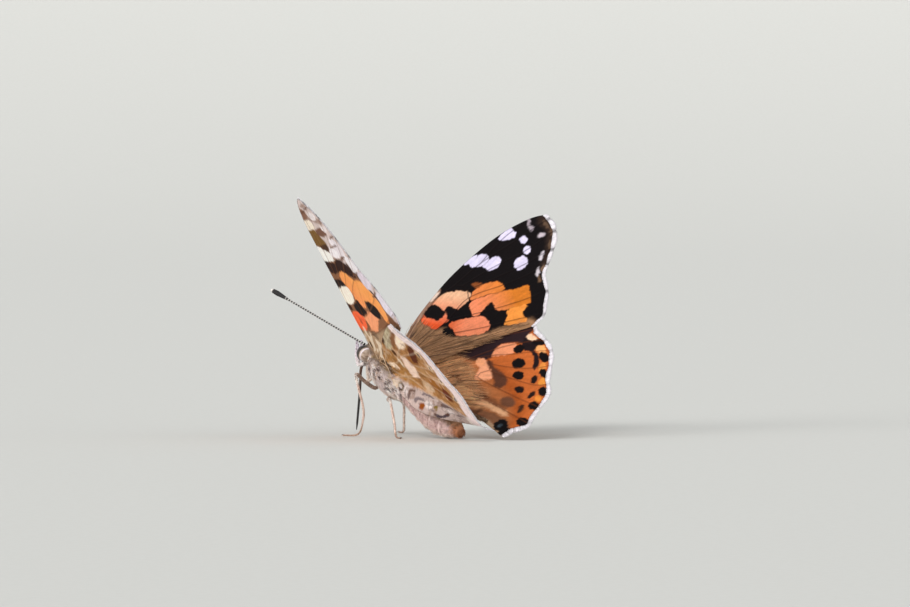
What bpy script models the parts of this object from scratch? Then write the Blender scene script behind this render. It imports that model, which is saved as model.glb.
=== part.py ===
"""Painted lady butterfly (Vanessa cardui), life size, feeding with its wings raised in a V.

It stands on four walking legs and the underside of its abdomen. The head points to -Y and the
left wings to +X, the floor is z = 0, and the origin is the middle of the model's box at its foot.
Sizes below are in millimetres and are turned to metres where a mesh is made.

Body places are (ahead, left, up): millimetres along the tilted body from the point between the
wing roots. Stance places are (ahead, left, height) on the level floor under that same point.
Wing places are (out, fore): out from the wing's base to its apex, fore towards the head.
"""

import math

import bmesh
import bpy
import numpy as np
from mathutils import Vector
from mathutils.geometry import delaunay_2d_cdt

MM = 0.001
GAP = 0.3

# Stance of the body
BODY_PITCH = math.radians(24.3)
SIDES = {"left": 1, "right": -1}
SOLE_CUT = 0.12

# Degrees that each wing is raised, swept forward, and tilted with its leading edge up
WING_ANGLES = {
    "forewing_left": (50.0, 4.5, 2.5),
    "forewing_right": (40.7, 9.9, 0.0),
    "hindwing_left": (48.0, 7.5, -1.4),
    "hindwing_right": (40.7, 9.9, 0.0),
}

# Trunk: (ahead, centre height, half height, half width) from the neck to the tail
TRUNK = [
    (4.35, 0.12, 1.05, 1.05),
    (4.0, 0.0, 1.5, 1.4),
    (3.0, -0.2, 2.12, 1.88),
    (1.6, -0.3, 2.45, 2.15),
    (0.0, -0.4, 2.6, 2.25),
    (-1.6, -0.45, 2.5, 2.2),
    (-3.2, -0.5, 2.05, 1.9),
    (-4.4, -0.55, 1.75, 1.65),
    (-6.0, -0.6, 1.95, 1.85),
    (-8.5, -0.65, 2.25, 2.15),
    (-11.0, -0.65, 2.4, 2.3),
    (-13.0, -0.6, 2.2, 2.1),
    (-14.8, -0.55, 1.65, 1.6),
    (-16.0, -0.5, 1.0, 1.0),
]
TRUNK_TIP = -16.7
WAIST = -4.3
ABDOMEN_RINGS = 7
RING_GROOVE = 0.05
TRUNK_SIDES = 24

# Head
HEAD_CENTRE = (5.9, 0.0, 0.4)
HEAD_RADII = (1.2, 1.35, 1.4)
HEAD_FLAT = 0.62
EYE_CENTRE = (5.9, 0.8, 0.5)
EYE_RADII = (1.0, 0.95, 1.1)
ANTENNA_LENGTH = 16.0
ANTENNA_WAY = {"left": (14.9, 5.4, 0.75), "right": (14.6, -6.0, 1.8)}
SHAFT_RADIUS = 0.26
CLUB_RADIUS = 0.46
CLUB_SHARE = 0.13

# Wings: the forewing is arched, droops or twists to its apex, and lies over the hindwing
FOREWING_LENGTH = 31.35
ARCH = 0.5
FORE_DROOP = {"left": 0.0, "right": 0.35}
FORE_TWIST = {"left": 0.055, "right": 0.0}
HIND_FLATTENED = {"left": 0.9, "right": 0.0}
HIND_DROP = 1.15
FOLD_DEPTH = 2.3
FOLD_REACH = {"left": 1.45, "right": 1.0}
WING_ROOT = (0.0, 0.9, 0.6)
MEMBRANE = 0.5
VEIN = 0.86
VEIN_WIDTH = 0.8
WING_STEP = 2.0

COLOURS = {
    "scales_orange": (0.78, 0.33, 0.09),
    "scales_brown": (0.42, 0.29, 0.19),
    "fur_thorax": (0.52, 0.45, 0.38),
    "fur_abdomen": (0.68, 0.58, 0.50),
    "fur_face": (0.80, 0.74, 0.68),
    "eye": (0.25, 0.20, 0.17),
    "antenna": (0.07, 0.06, 0.05),
    "proboscis": (0.05, 0.035, 0.03),
    "leg": (0.70, 0.56, 0.47),
}

AHEAD = np.array([0.0, -math.cos(BODY_PITCH), math.sin(BODY_PITCH)])
LEFT = np.array([1.0, 0.0, 0.0])
UP = np.array([0.0, math.sin(BODY_PITCH), math.cos(BODY_PITCH)])


def blend_rows(rows, at):
    """A smooth line through rows whose first column falls: its other columns at the places given."""
    rows = np.array(rows, float)
    at = np.clip(np.atleast_1d(np.asarray(at, float)), rows[-1, 0], rows[0, 0])
    place = -rows[:, 0]
    slopes = np.gradient(rows[:, 1:], place, axis=0)
    low = np.clip(np.searchsorted(place, -at, side="right") - 1, 0, len(rows) - 2)
    width = (place[low + 1] - place[low])[:, None]
    t = ((-at - place[low]) / width[:, 0])[:, None]
    start, end = rows[low, 1:], rows[low + 1, 1:]
    return (
        start * (2 * t**3 - 3 * t**2 + 1)
        + end * (3 * t**2 - 2 * t**3)
        + slopes[low] * width * (t**3 - 2 * t**2 + t)
        + slopes[low + 1] * width * (t**3 - t**2)
    )


def trunk_section(ahead):
    """Centre height, half height and half width of the trunk, with a round end at the tail."""
    ahead = np.atleast_1d(np.asarray(ahead, float))
    found = blend_rows(TRUNK, ahead)
    last = TRUNK[-1][0]
    past = np.clip((last - ahead) / (last - TRUNK_TIP), 0, 1)
    found[:, 1:] *= np.sqrt(np.clip(1 - past**2, 1e-4, 1))[:, None]
    along = np.clip((WAIST - ahead) / (WAIST - TRUNK_TIP), 0, 1)
    groove = np.cos(math.pi * ABDOMEN_RINGS * along) ** 12 * (along > 0) * RING_GROOVE
    found[:, 1:] *= (1 - groove)[:, None]
    return found


def lowest_of_trunk():
    ahead = np.linspace(-8, TRUNK_TIP, 200)
    middle, high, _ = trunk_section(ahead).T
    return (ahead * AHEAD[2] + (middle - high) * UP[2]).min()


ROOT_HEIGHT = -lowest_of_trunk() - SOLE_CUT


def from_body(places):
    """World millimetres of body places (ahead, left, up)."""
    places = np.atleast_2d(np.asarray(places, float))
    return places @ np.array([AHEAD, LEFT, UP]) + [0, 0, ROOT_HEIGHT]


def from_stance(places):
    """World millimetres of stance places (ahead, left, height above the floor)."""
    ahead, left, height = np.atleast_2d(np.asarray(places, float)).T
    return np.stack([left, -ahead, height], 1)


def smooth_path(points, step):
    """Points about a step apart on a curve through the given ones, each span a Catmull-Rom piece."""
    points = np.array(points, float)
    padded = np.vstack([2 * points[0] - points[1], points, 2 * points[-1] - points[-2]])
    found = []
    for p0, p1, p2, p3 in zip(padded, padded[1:], padded[2:], padded[3:]):
        count = max(1, round(float(np.linalg.norm(p2 - p1)) / step))
        t = np.linspace(0, 1, count, endpoint=False)[:, None]
        found.append(
            0.5 * (2 * p1 + (p2 - p0) * t + (2 * p0 - 5 * p1 + 4 * p2 - p3) * t**2
                   + (3 * p1 - p0 - 3 * p2 + p3) * t**3)
        )
    return np.vstack([*found, points[-1:]])


def material(name):
    found = bpy.data.materials.get(name)
    if found:
        return found
    made = bpy.data.materials.new(name)
    made.use_nodes = True
    shader = made.node_tree.nodes["Principled BSDF"]
    shader.inputs["Base Color"].default_value = (*COLOURS[name], 1)
    shader.inputs["Roughness"].default_value = 0.25 if name == "eye" else 0.75
    made.diffuse_color = (*COLOURS[name], 1)
    return made


def new_part(name, finish, mesh):
    mesh.name = name
    mesh.materials.clear()
    mesh.materials.append(material(finish))
    mesh.shade_smooth()
    mesh.set_sharp_from_angle(angle=math.radians(40))
    made = bpy.data.objects.new(name, mesh)
    BUTTERFLY.objects.link(made)
    return made


def mesh_of(points, faces, name):
    mesh = bpy.data.meshes.new(name)
    mesh.from_pydata((np.asarray(points) * MM).tolist(), [], faces)
    shell = bmesh.new()
    shell.from_mesh(mesh)
    bmesh.ops.recalc_face_normals(shell, faces=shell.faces)
    shell.to_mesh(mesh)
    shell.free()
    return mesh


def cut(mesh, point, outwards):
    """Removes what lies past a plane, in world millimetres, and closes the mesh with a flat face."""
    shell = bmesh.new()
    shell.from_mesh(mesh)
    everything = shell.verts[:] + shell.edges[:] + shell.faces[:]
    made = bmesh.ops.bisect_plane(
        shell, geom=everything, dist=1e-7, clear_outer=True,
        plane_co=Vector(point) * MM, plane_no=Vector(outwards),
    )
    rim = [item for item in made["geom_cut"] if isinstance(item, bmesh.types.BMEdge)]
    bmesh.ops.contextual_create(shell, geom=rim)
    bmesh.ops.triangulate(shell, faces=[face for face in shell.faces if len(face.verts) > 4])
    bmesh.ops.recalc_face_normals(shell, faces=shell.faces)
    shell.to_mesh(mesh)
    shell.free()


def ball(centre, radii, rows=14, sides=20):
    """A sphere stretched along the body's axes, in world millimetres, with its poles ahead and behind."""
    shell = bmesh.new()
    bmesh.ops.create_uvsphere(shell, u_segments=sides, v_segments=rows, radius=1)
    for vert in shell.verts:
        left, up, ahead = vert.co
        place = np.array([ahead, left, up]) * radii + centre
        vert.co = Vector(from_body(place)[0] * MM)
    bmesh.ops.recalc_face_normals(shell, faces=shell.faces)
    mesh = bpy.data.meshes.new("ball")
    shell.to_mesh(mesh)
    shell.free()
    return mesh


def tube(name, finish, points, radii, sides=2):
    """A tapering tube through world millimetres: a bevelled curve with filled caps, made a mesh."""
    points = np.asarray(points)
    radii = np.interp(np.linspace(0, 1, len(points)), np.linspace(0, 1, len(radii)), radii)
    curve = bpy.data.curves.new(name, "CURVE")
    curve.dimensions = "3D"
    curve.bevel_depth = MM
    curve.bevel_resolution = sides
    curve.use_fill_caps = True
    spline = curve.splines.new("POLY")
    spline.points.add(len(points) - 1)
    for knot, place, radius in zip(spline.points, points, radii):
        knot.co = (*(place * MM), 1)
        knot.radius = radius
    guide = bpy.data.objects.new(name + "_curve", curve)
    BUTTERFLY.objects.link(guide)
    mesh = bpy.data.meshes.new_from_object(
        guide.evaluated_get(bpy.context.evaluated_depsgraph_get())
    )
    bpy.data.objects.remove(guide)
    shell = bmesh.new()
    shell.from_mesh(mesh)
    bmesh.ops.remove_doubles(shell, verts=shell.verts, dist=1e-6)
    bmesh.ops.recalc_face_normals(shell, faces=shell.faces)
    shell.to_mesh(mesh)
    shell.free()
    return new_part(name, finish, mesh)


def add_trunk():
    """Thorax and abdomen: one lofted spindle, parted at the waist by a thin cut across the body."""
    front = TRUNK[0][0]
    places = np.concatenate([np.linspace(front, WAIST, 12), np.linspace(WAIST - 0.4, TRUNK_TIP + 0.05, 32)])
    turn = np.linspace(0, 2 * math.pi, TRUNK_SIDES, endpoint=False)
    middle, high, wide = trunk_section(places).T
    rings = np.stack([
        np.repeat(places[:, None], TRUNK_SIDES, 1),
        wide[:, None] * np.cos(turn),
        middle[:, None] + high[:, None] * np.sin(turn),
    ], 2)
    count = len(places)
    points = from_body(rings.reshape(-1, 3))
    index = np.arange(count * TRUNK_SIDES).reshape(count, TRUNK_SIDES)
    nearer, farther = index[:-1], index[1:]
    quads = np.stack([nearer, np.roll(nearer, -1, 1), np.roll(farther, -1, 1), farther], 2)
    faces = [*quads.reshape(-1, 4).tolist(), index[0].tolist(), index[-1].tolist()]
    for name, finish, side in (("thorax", "fur_thorax", -1), ("abdomen", "fur_abdomen", 1)):
        mesh = mesh_of(points, faces, name)
        cut(mesh, from_body((WAIST - side * GAP / 2, 0, 0))[0], AHEAD * side)
        cut(mesh, (0, 0, 0), (0, 0, -1))
        new_part(name, finish, mesh)


def add_head():
    """Head with a flat on each side, where the domed eye sits."""
    mesh = ball(HEAD_CENTRE, HEAD_RADII)
    for side in (1, -1):
        cut(mesh, from_body((0, side * HEAD_FLAT, 0))[0], LEFT * side)
    neck = TRUNK[0][0] + GAP
    cut(mesh, from_body((neck, 0, 0))[0], -AHEAD)
    new_part("head", "fur_face", mesh)
    for name, side in SIDES.items():
        eye = ball(np.array(EYE_CENTRE) * (1, side, 1), EYE_RADII)
        cut(eye, from_body((0, side * (HEAD_FLAT + GAP), 0))[0], LEFT * -side)
        new_part(f"eye_{name}", "eye", eye)


def head_surface(towards, gap=0.0):
    """The place where a line from the head's centre leaves it, and a gap past that."""
    towards = np.array(towards, float)
    reach = 1 / np.linalg.norm(towards / HEAD_RADII)
    unit = towards / np.linalg.norm(towards)
    return np.array(HEAD_CENTRE) + towards * reach + unit * gap


def add_feelers():
    """Antennae with clubs, labial palps in front of the face, and the straight proboscis."""
    for name, side in SIDES.items():
        base = head_surface((0.75, 0.4 * side, 1.05), GAP + 0.05)
        way = np.array(ANTENNA_WAY[name])
        way = way / np.linalg.norm(way) * ANTENNA_LENGTH
        along = np.array([0, 0.03, 0.25, 0.5, 0.75, 1 - 1.6 * CLUB_SHARE, 1 - CLUB_SHARE,
                          1 - 0.55 * CLUB_SHARE, 1 - 0.15 * CLUB_SHARE, 1])
        radii = [SHAFT_RADIUS * 1.2] + [SHAFT_RADIUS] * 5
        radii += [CLUB_RADIUS * 0.85, CLUB_RADIUS, CLUB_RADIUS * 0.75, CLUB_RADIUS * 0.35]
        points = base + along[:, None] * way
        tube(f"antenna_{name}", "antenna", from_body(points), radii)

        root = head_surface((-0.25, 0.38 * side, -1.3), GAP + 0.12)
        palp = [root, (6.6, 0.5 * side, -1.45), (7.45, 0.48 * side, -0.55),
                (7.85, 0.44 * side, 0.25), (8.35, 0.38 * side, 1.1)]
        tube(f"palp_{name}", "fur_face", from_body(smooth_path(palp, 0.45)),
             [0.26, 0.3, 0.3, 0.28, 0.12])
    root = head_surface((0.4, 0, -1.3), GAP + 0.02)
    proboscis = [root, (6.45, 0, -2.3), (5.6, 0, -4.6), (4.7, 0, -7.6), (4.0, 0, -10.0)]
    tube("proboscis", "proboscis", from_body(smooth_path(proboscis, 0.9)),
         [0.27, 0.25, 0.25, 0.22, 0.18])


def add_legs():
    """Two pairs of walking legs on the floor and, as in this family, small forelegs folded away."""
    sole = 0.19
    legs = {
        "midleg_left": ((1.0, 1.25), [(0.9, 5.4, ROOT_HEIGHT + 0.1), (-0.4, 5.2, 3.8), (-0.25, 5.2, 1.9),
                                      (0.15, 5.35, 0.6), (0.9, 5.65, sole), (2.5, 6.2, sole)]),
        "midleg_right": ((1.0, -1.25), [(2.9, -4.2, 3.9), (3.2, -4.5, 1.9),
                                        (3.6, -4.8, 0.6), (4.3, -5.1, sole), (5.8, -5.7, sole)]),
        "hindleg_left": ((-1.9, 1.2), [(-4.2, 3.6, 4.7), (-6.2, 4.5, 2.0), (-6.8, 4.8, 0.7),
                                       (-7.5, 5.1, sole), (-9.0, 5.7, sole)]),
        "hindleg_right": ((-1.9, -1.2), [(-3.7, -3.7, 5.0), (-5.3, -4.5, 2.2), (-5.7, -4.7, 0.8),
                                         (-6.3, -5.0, sole), (-7.7, -5.6, sole)]),
    }
    for name, ((ahead, left), joints) in legs.items():
        root, away = underside(ahead, left)
        hip = from_body([root + away * (GAP + 0.06), root + away * (GAP + 0.8)])
        path = smooth_path(np.vstack([hip, from_stance(joints)]), 0.6)
        leg = tube(name, "leg", path, [0.36, 0.42, 0.36, 0.3, 0.27, 0.26, 0.25, 0.22])
        cut(leg.data, (0, 0, 0), (0, 0, -1))
    for name, side in SIDES.items():
        root, away = underside(3.1, 0.75 * side)
        start = root + away * (GAP + 0.05)
        knee = root + away * (GAP + 0.45) + (0.5, 0, 0)
        end = root + away * (GAP + 0.3) + (1.7, -0.1 * side, 0.35)
        tube(f"foreleg_{name}", "fur_face", from_body(smooth_path([start, knee, end], 0.4)),
             [0.26, 0.3, 0.3, 0.2])


def underside(ahead, left):
    """The trunk's lower surface at a place, as a body place, and the way straight out of it."""
    middle, high, wide = trunk_section(ahead)[0]
    drop = high * math.sqrt(1 - (left / wide) ** 2)
    away = np.array([0.0, left / wide**2, -drop / high**2])
    return np.array([ahead, left, middle - drop]), away / np.linalg.norm(away)


# Outlines: each list is one stretch of margin, drawn smooth, and stretches meet at corners
FORE_COSTA = [(3.4, 2.6), (6, 3.7), (9, 4.35), (12.7, 4.9), (16, 5.25), (20, 5.15), (24, 4.8),
              (27, 4.05), (29.5, 2.85), (30.9, 1.65), (31.35, 0.5)]
FORE_OUTER = [(31.35, 0.5), (31, -1.0), (30, -2.35), (28.7, -3.7), (27, -4.8), (25, -5.9),
              (22.85, -7.05), (21.65, -8.5), (20.3, -10.05), (18.7, -11.25), (17.35, -12.3),
              (16.2, -12.7), (14.4, -12.2)]
FORE_HIND = [(14.4, -12.2), (12, -10.1), (9.4, -7.95), (6.5, -5.9), (4, -3.9), (2.6, -2.2)]
HIND_COSTA = [(3.0, -1.7), (5.2, -2.9), (8, -4.9), (11, -7.7), (13.5, -10.4), (14.8, -12.2)]
HIND_OUTER = [(14.8, -12.2), (14.3, -14.1), (13.7, -16.1), (12.65, -18.1), (10.85, -19.75),
              (8.6, -21.2), (6.7, -23), (4.35, -23.5), (2.6, -23.8), (0.8, -24.4), (-0.7, -23.1),
              (-2.1, -21.7)]
HIND_INNER = [(-2.1, -21.7), (-1.5, -18.5), (-0.9, -15), (-0.4, -11), (0.2, -7.5), (1.3, -4.6)]

FORE_VEINS = [
    [(3.0, 1.6), (5.5, 2.7), (9, 3.5), (12.5, 3.9), (15.2, 3.3), (20, 2.8), (25, 1.5), (30.6, 0.3)],
    [(15.2, 3.3), (15.6, 2.0), (15.2, 0.8), (14.3, -0.2)],
    [(20, 2.8), (24.4, 3.3), (28.6, 2.9)],
    [(15.6, 2.2), (20, 0.7), (25, -1.4), (29.5, -2.2)],
    [(15.3, 1.0), (18.3, -0.8), (22.5, -3.0), (26.6, -4.4)],
    [(3.0, 0.4), (6.5, 0.3), (10, -0.3), (14.3, -0.2), (18.4, -3.1), (21.2, -4.8), (24.2, -5.7)],
    [(10, -0.3), (13, -3.6), (15.4, -5.9), (17.7, -7.8), (20.2, -9.4)],
    [(6.5, 0.3), (8.8, -3.0), (11.4, -6.2), (13.8, -8.7), (16.8, -11.9)],
    [(3.0, -1.2), (4.6, -3.2), (9.0, -6.6), (12, -9.1), (14.6, -11.6)],
]
HIND_VEINS = [
    [(3.4, -2.8), (6, -4.6), (10.2, -8.2), (14.0, -12.4)],
    [(3.4, -2.8), (4.8, -6.2), (7.8, -10), (9.8, -13.7), (11.8, -16.8), (12.2, -17.7)],
    [(5.5, -7.1), (9, -10), (12, -13.4), (13.3, -15.6)],
    [(7.8, -10), (6.9, -11.4), (7.9, -15.4), (9.2, -18.3), (10.1, -19.4)],
    [(6.9, -11.4), (5.9, -12), (6.3, -17), (6.8, -20), (7.5, -21.3)],
    [(5.9, -12), (4.3, -11.2), (4.0, -18), (4.1, -22.8)],
    [(3.0, -3.6), (2.9, -7), (4.3, -11.2)],
    [(3.0, -7.6), (2.0, -13), (1.6, -18), (1.3, -23.3)],
]


def wing_frame(name):
    """Out and fore axes of a wing and its upper normal, as body directions."""
    side = SIDES[name.split("_")[1]]
    raised, swept, tilted = np.radians(WING_ANGLES[name])
    outwards = np.array([0.0, side * math.cos(raised), math.sin(raised)])
    flat_up = np.array([0.0, -side * math.sin(raised), math.cos(raised)])
    forwards = np.array([math.cos(tilted), 0.0, 0.0]) + math.sin(tilted) * flat_up
    upper = math.cos(tilted) * flat_up - np.array([math.sin(tilted), 0.0, 0.0])
    out = math.cos(swept) * outwards + math.sin(swept) * forwards
    fore = math.cos(swept) * forwards - math.sin(swept) * outwards
    return out, fore, upper


def arch(out):
    """Height of the shallow arch from a wing's base to its apex."""
    return ARCH * np.sin(math.pi * np.clip(out / FOREWING_LENGTH, 0, 1))


def forewing_rise(side_name, out, fore):
    """Height of the forewing's middle above its flat plane: arched, drooping and twisted outwards."""
    share = out / FOREWING_LENGTH
    return arch(out) - FORE_DROOP[side_name] * share**2 - FORE_TWIST[side_name] * share * fore


def hindwing_rise(side_name, out, fore):
    """Height of the hindwing's middle: tucked under the forewing, and folded down along the abdomen."""
    behind = np.clip(-(fore + 1.0 + 0.78 * out) * 0.13, 0, 1)
    tuck = -HIND_DROP * (1 - behind * behind * (3 - 2 * behind))
    edge = np.interp(-fore, [3, 7.5, 11, 15, 18.5, 21.7], [1.8, 0.2, -0.4, -0.9, -1.5, -2.1])
    inward = np.clip(1 - (out - edge) / 4.2, 0, 1.3)
    along = np.clip((-fore - 2.0) / 15.5, 0, FOLD_REACH[side_name])
    fold = -FOLD_DEPTH * np.sin(math.pi * along) * inward**2
    flattened = (1 - HIND_FLATTENED[side_name]) * np.clip((out - 2) / 8, 0, 1)
    return arch(out) * flattened + tuck + fold


def wing_surface(name, out, fore):
    """Body places of a wing's middle surface at (out, fore), before it clears the trunk."""
    kind, side_name = name.split("_")
    axis_out, axis_fore, upper = wing_frame(name)
    rise = (forewing_rise if kind == "forewing" else hindwing_rise)(side_name, out, fore)
    root = np.array(WING_ROOT) * (1, SIDES[side_name], 1)
    return root + out[:, None] * axis_out + fore[:, None] * axis_fore + rise[:, None] * upper


def trunk_distance(places):
    """Distance of body places from the trunk's middle line, and of its surface on the same way."""
    middle, high, wide = trunk_section(np.clip(places[:, 0], TRUNK_TIP, None)).T
    left, up = places[:, 1], places[:, 2] - middle
    away = np.hypot(left, up)
    return away, away / np.maximum(np.hypot(left / wide, up / high), 1e-6), left, up


def wing_places(name, flat):
    """Body places of a wing's middle surface, pushed out of the trunk where it would come too near."""
    places = wing_surface(name, *np.asarray(flat, float).T)
    away, surface, left, up = trunk_distance(places)
    fade = np.clip((places[:, 0] - TRUNK_TIP + 2.0) / 2.0, 0, 1)
    short = np.maximum((surface + GAP + MEMBRANE / 2 + 0.08) * fade - away, 0)
    places[:, 1] += left / away * short
    places[:, 2] += up / away * short
    return places


def root_edge(name, start, end):
    """Flat places along the wing's base, where its edge stands a gap away from the thorax."""
    edge = []
    tries = np.linspace(0.2, 4.0, 200)
    for fore in np.linspace(start, end, 4):
        away, surface, *_ = trunk_distance(wing_surface(name, tries, np.full(200, fore)))
        edge.append((tries[np.argmax(away - surface > GAP + 0.1)], fore))
    return edge


def vein_weight(flat, veins):
    """1 on a vein's middle line, falling to 0 at its foot, for each flat place."""
    nearest = np.full(len(flat), 1e9)
    for line in veins:
        for start, end in zip(line, line[1:]):
            way = end - start
            share = np.clip(((flat - start) @ way) / (way @ way), 0, 1)[:, None]
            nearest = np.minimum(nearest, np.linalg.norm(flat - start - share * way, axis=1))
    return np.clip(1 - nearest / (VEIN_WIDTH / 2), 0, 1)


def add_wing(name, finish, stretches, root_span, vein_points):
    """A wing: its outline and veins joined by triangles, bent to its surface and given its thickness."""
    edge = root_edge(name, *root_span)
    stretches = [np.array(line, float) for line in stretches]
    stretches[0][0], stretches[-1][-1] = edge[-1], edge[0]
    outline = [np.array(edge)]
    outline += [smooth_path(line, WING_STEP * 0.8)[1:] for line in stretches[:-1]]
    outline.append(smooth_path(stretches[-1], WING_STEP * 0.8)[1:-1])
    outline = np.vstack(outline)
    veins = [smooth_path(line, WING_STEP) for line in vein_points]
    flat = [outline]
    edges = [(i, (i + 1) % len(outline)) for i in range(len(outline))]
    total = len(outline)
    for line in veins:
        way = np.gradient(line, axis=0)
        across = np.stack([-way[:, 1], way[:, 0]], 1) / np.linalg.norm(way, axis=1)[:, None]
        for shift in (-0.5, 0, 0.5):
            run = line + across * shift * VEIN_WIDTH
            flat.append(run)
            edges += [(total + i, total + i + 1) for i in range(len(run) - 1)]
            total += len(run)
    low, high = outline.min(0), outline.max(0)
    grid = np.stack(np.meshgrid(np.arange(low[0], high[0], WING_STEP * 1.2),
                                np.arange(low[1], high[1], WING_STEP * 1.2)), 2).reshape(-1, 2)
    spare = grid[np.array([away_from(place, np.vstack(flat)) > WING_STEP * 0.6 for place in grid])]
    points = np.vstack([*flat, spare])
    face = list(range(len(outline)))
    verts, _, faces, *_ = delaunay_2d_cdt([Vector(p) for p in points.tolist()], edges, [face], 1, 1e-3)
    flat = np.array([tuple(vert) for vert in verts])
    places = from_body(wing_places(name, flat))
    used = sorted({i for f in faces for i in f})
    order = {old: new for new, old in enumerate(used)}
    mesh = bpy.data.meshes.new(name)
    mesh.from_pydata((places[used] * MM).tolist(), [], [[order[i] for i in f] for f in faces])
    wing = new_part(name, finish, mesh)
    group = wing.vertex_groups.new(name="veins")
    for index, weight in enumerate(vein_weight(flat[used], veins)):
        group.add([index], float(weight), "REPLACE")
    solid = wing.modifiers.new("thickness", "SOLIDIFY")
    solid.thickness = VEIN * MM
    solid.offset = 0
    solid.vertex_group = group.name
    solid.thickness_vertex_group = MEMBRANE / VEIN


def away_from(place, others):
    return float(np.min(np.linalg.norm(others - place, axis=1)))


def centre_on_origin():
    """Moves every part so that the middle of the box's foot is the origin."""
    graph = bpy.context.evaluated_depsgraph_get()
    corners = []
    for part in BUTTERFLY.objects:
        mesh = part.evaluated_get(graph).to_mesh()
        spots = np.empty(len(mesh.vertices) * 3)
        mesh.vertices.foreach_get("co", spots)
        corners += [spots.reshape(-1, 3).min(0), spots.reshape(-1, 3).max(0)]
    low, high = np.min(corners, 0), np.max(corners, 0)
    for part in BUTTERFLY.objects:
        part.location = (-(low[0] + high[0]) / 2, -(low[1] + high[1]) / 2, 0)


for old in list(bpy.data.objects):
    bpy.data.objects.remove(old)
BUTTERFLY = bpy.data.collections.new("painted_lady_butterfly")
bpy.context.scene.collection.children.link(BUTTERFLY)

add_trunk()
add_head()
add_feelers()
add_legs()
for wing_side in SIDES:
    add_wing(f"forewing_{wing_side}", "scales_orange", [FORE_COSTA, FORE_OUTER, FORE_HIND],
             (-0.5, 2.3), FORE_VEINS)
    add_wing(f"hindwing_{wing_side}", "scales_brown", [HIND_COSTA, HIND_OUTER, HIND_INNER],
             (-3.4, -1.2), HIND_VEINS)
centre_on_origin()
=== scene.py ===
import math

import bpy
import numpy as np
from mathutils import Matrix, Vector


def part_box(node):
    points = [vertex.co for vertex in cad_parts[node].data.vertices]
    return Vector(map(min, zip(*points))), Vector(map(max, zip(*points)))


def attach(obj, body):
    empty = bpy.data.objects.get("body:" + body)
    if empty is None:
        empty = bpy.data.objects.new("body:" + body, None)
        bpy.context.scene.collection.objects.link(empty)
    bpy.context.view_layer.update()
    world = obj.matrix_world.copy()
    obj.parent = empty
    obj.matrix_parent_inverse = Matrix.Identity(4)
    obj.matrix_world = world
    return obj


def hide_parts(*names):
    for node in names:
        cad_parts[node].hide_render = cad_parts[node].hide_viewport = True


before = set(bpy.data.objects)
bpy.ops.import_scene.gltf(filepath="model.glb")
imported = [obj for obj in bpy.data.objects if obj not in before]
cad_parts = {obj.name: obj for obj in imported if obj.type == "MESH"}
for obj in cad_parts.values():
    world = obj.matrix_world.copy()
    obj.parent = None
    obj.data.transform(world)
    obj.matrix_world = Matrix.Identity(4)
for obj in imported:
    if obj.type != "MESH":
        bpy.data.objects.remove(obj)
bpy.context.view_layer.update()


# The stage: a pale matt floor that sweeps up far away all round like a photographer's paper roll,
# soft light from two broad lamps and a pale sky, and the camera where the photograph was taken.
# It stands behind the butterfly on its left, level with the wings, so it sees one wing from below.

# Every length in this script is in millimetres until its mesh is made
MM = 0.001

# The wings are hinged in the thorax at this distance behind its front and below its top
WING_BEHIND = 4.3473
WING_BELOW = 3.06
thorax_low, thorax_high = (np.array(corner) * 1000 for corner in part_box("thorax"))
WING_POINT = np.array([(thorax_low[0] + thorax_high[0]) / 2, thorax_low[1] + WING_BEHIND,
                       thorax_high[2] - WING_BELOW])

# The camera's bearing, its tilt, its distance, and how far its aim lies right of and over the wing point
CAMERA_YAW = math.radians(38.53)
CAMERA_TILT = math.radians(1.5)
CAMERA_AWAY = 1000.0
CAMERA_RIGHT = 8.37
CAMERA_UP = 9.63
PICTURE_PIXELS = 910
PIXELS_PER_MM = 7.5
FILM_WIDTH = 36.0


def linear(shade):
    """Linear colour of an sRGB hex one: each channel over 12.92, or a 2.4 power above 0.04."""
    parts = np.array([int(shade[at:at + 2], 16) for at in (1, 3, 5)]) / 255
    return np.where(parts > 0.04045, ((parts + 0.055) / 1.055) ** 2.4, parts / 12.92)


def add_node(tree, kind, settings=(), links=()):
    """Adds a node, sets what is named in settings, and joins each (output, input name) pair in links."""
    node = tree.nodes.new(kind)
    for name, value in dict(settings).items():
        if name in node.inputs:
            node.inputs[name].default_value = value
        else:
            setattr(node, name, value)
    for output, name in links:
        tree.links.new(output, node.inputs[name])
    return node


def triangles_of_grid(rows, columns, round_row=False):
    """Two triangles to each square of a grid of points numbered row by row, wrapping if its rows
    are rings."""
    index = np.arange(rows * columns).reshape(rows, columns)
    near = index if round_row else index[:, :-1]
    far = np.roll(index, -1, 1) if round_row else index[:, 1:]
    a, b, c, d = near[:-1], far[:-1], far[1:], near[1:]
    return np.concatenate([np.stack([a, b, c], -1).reshape(-1, 3), np.stack([a, c, d], -1).reshape(-1, 3)])


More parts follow.
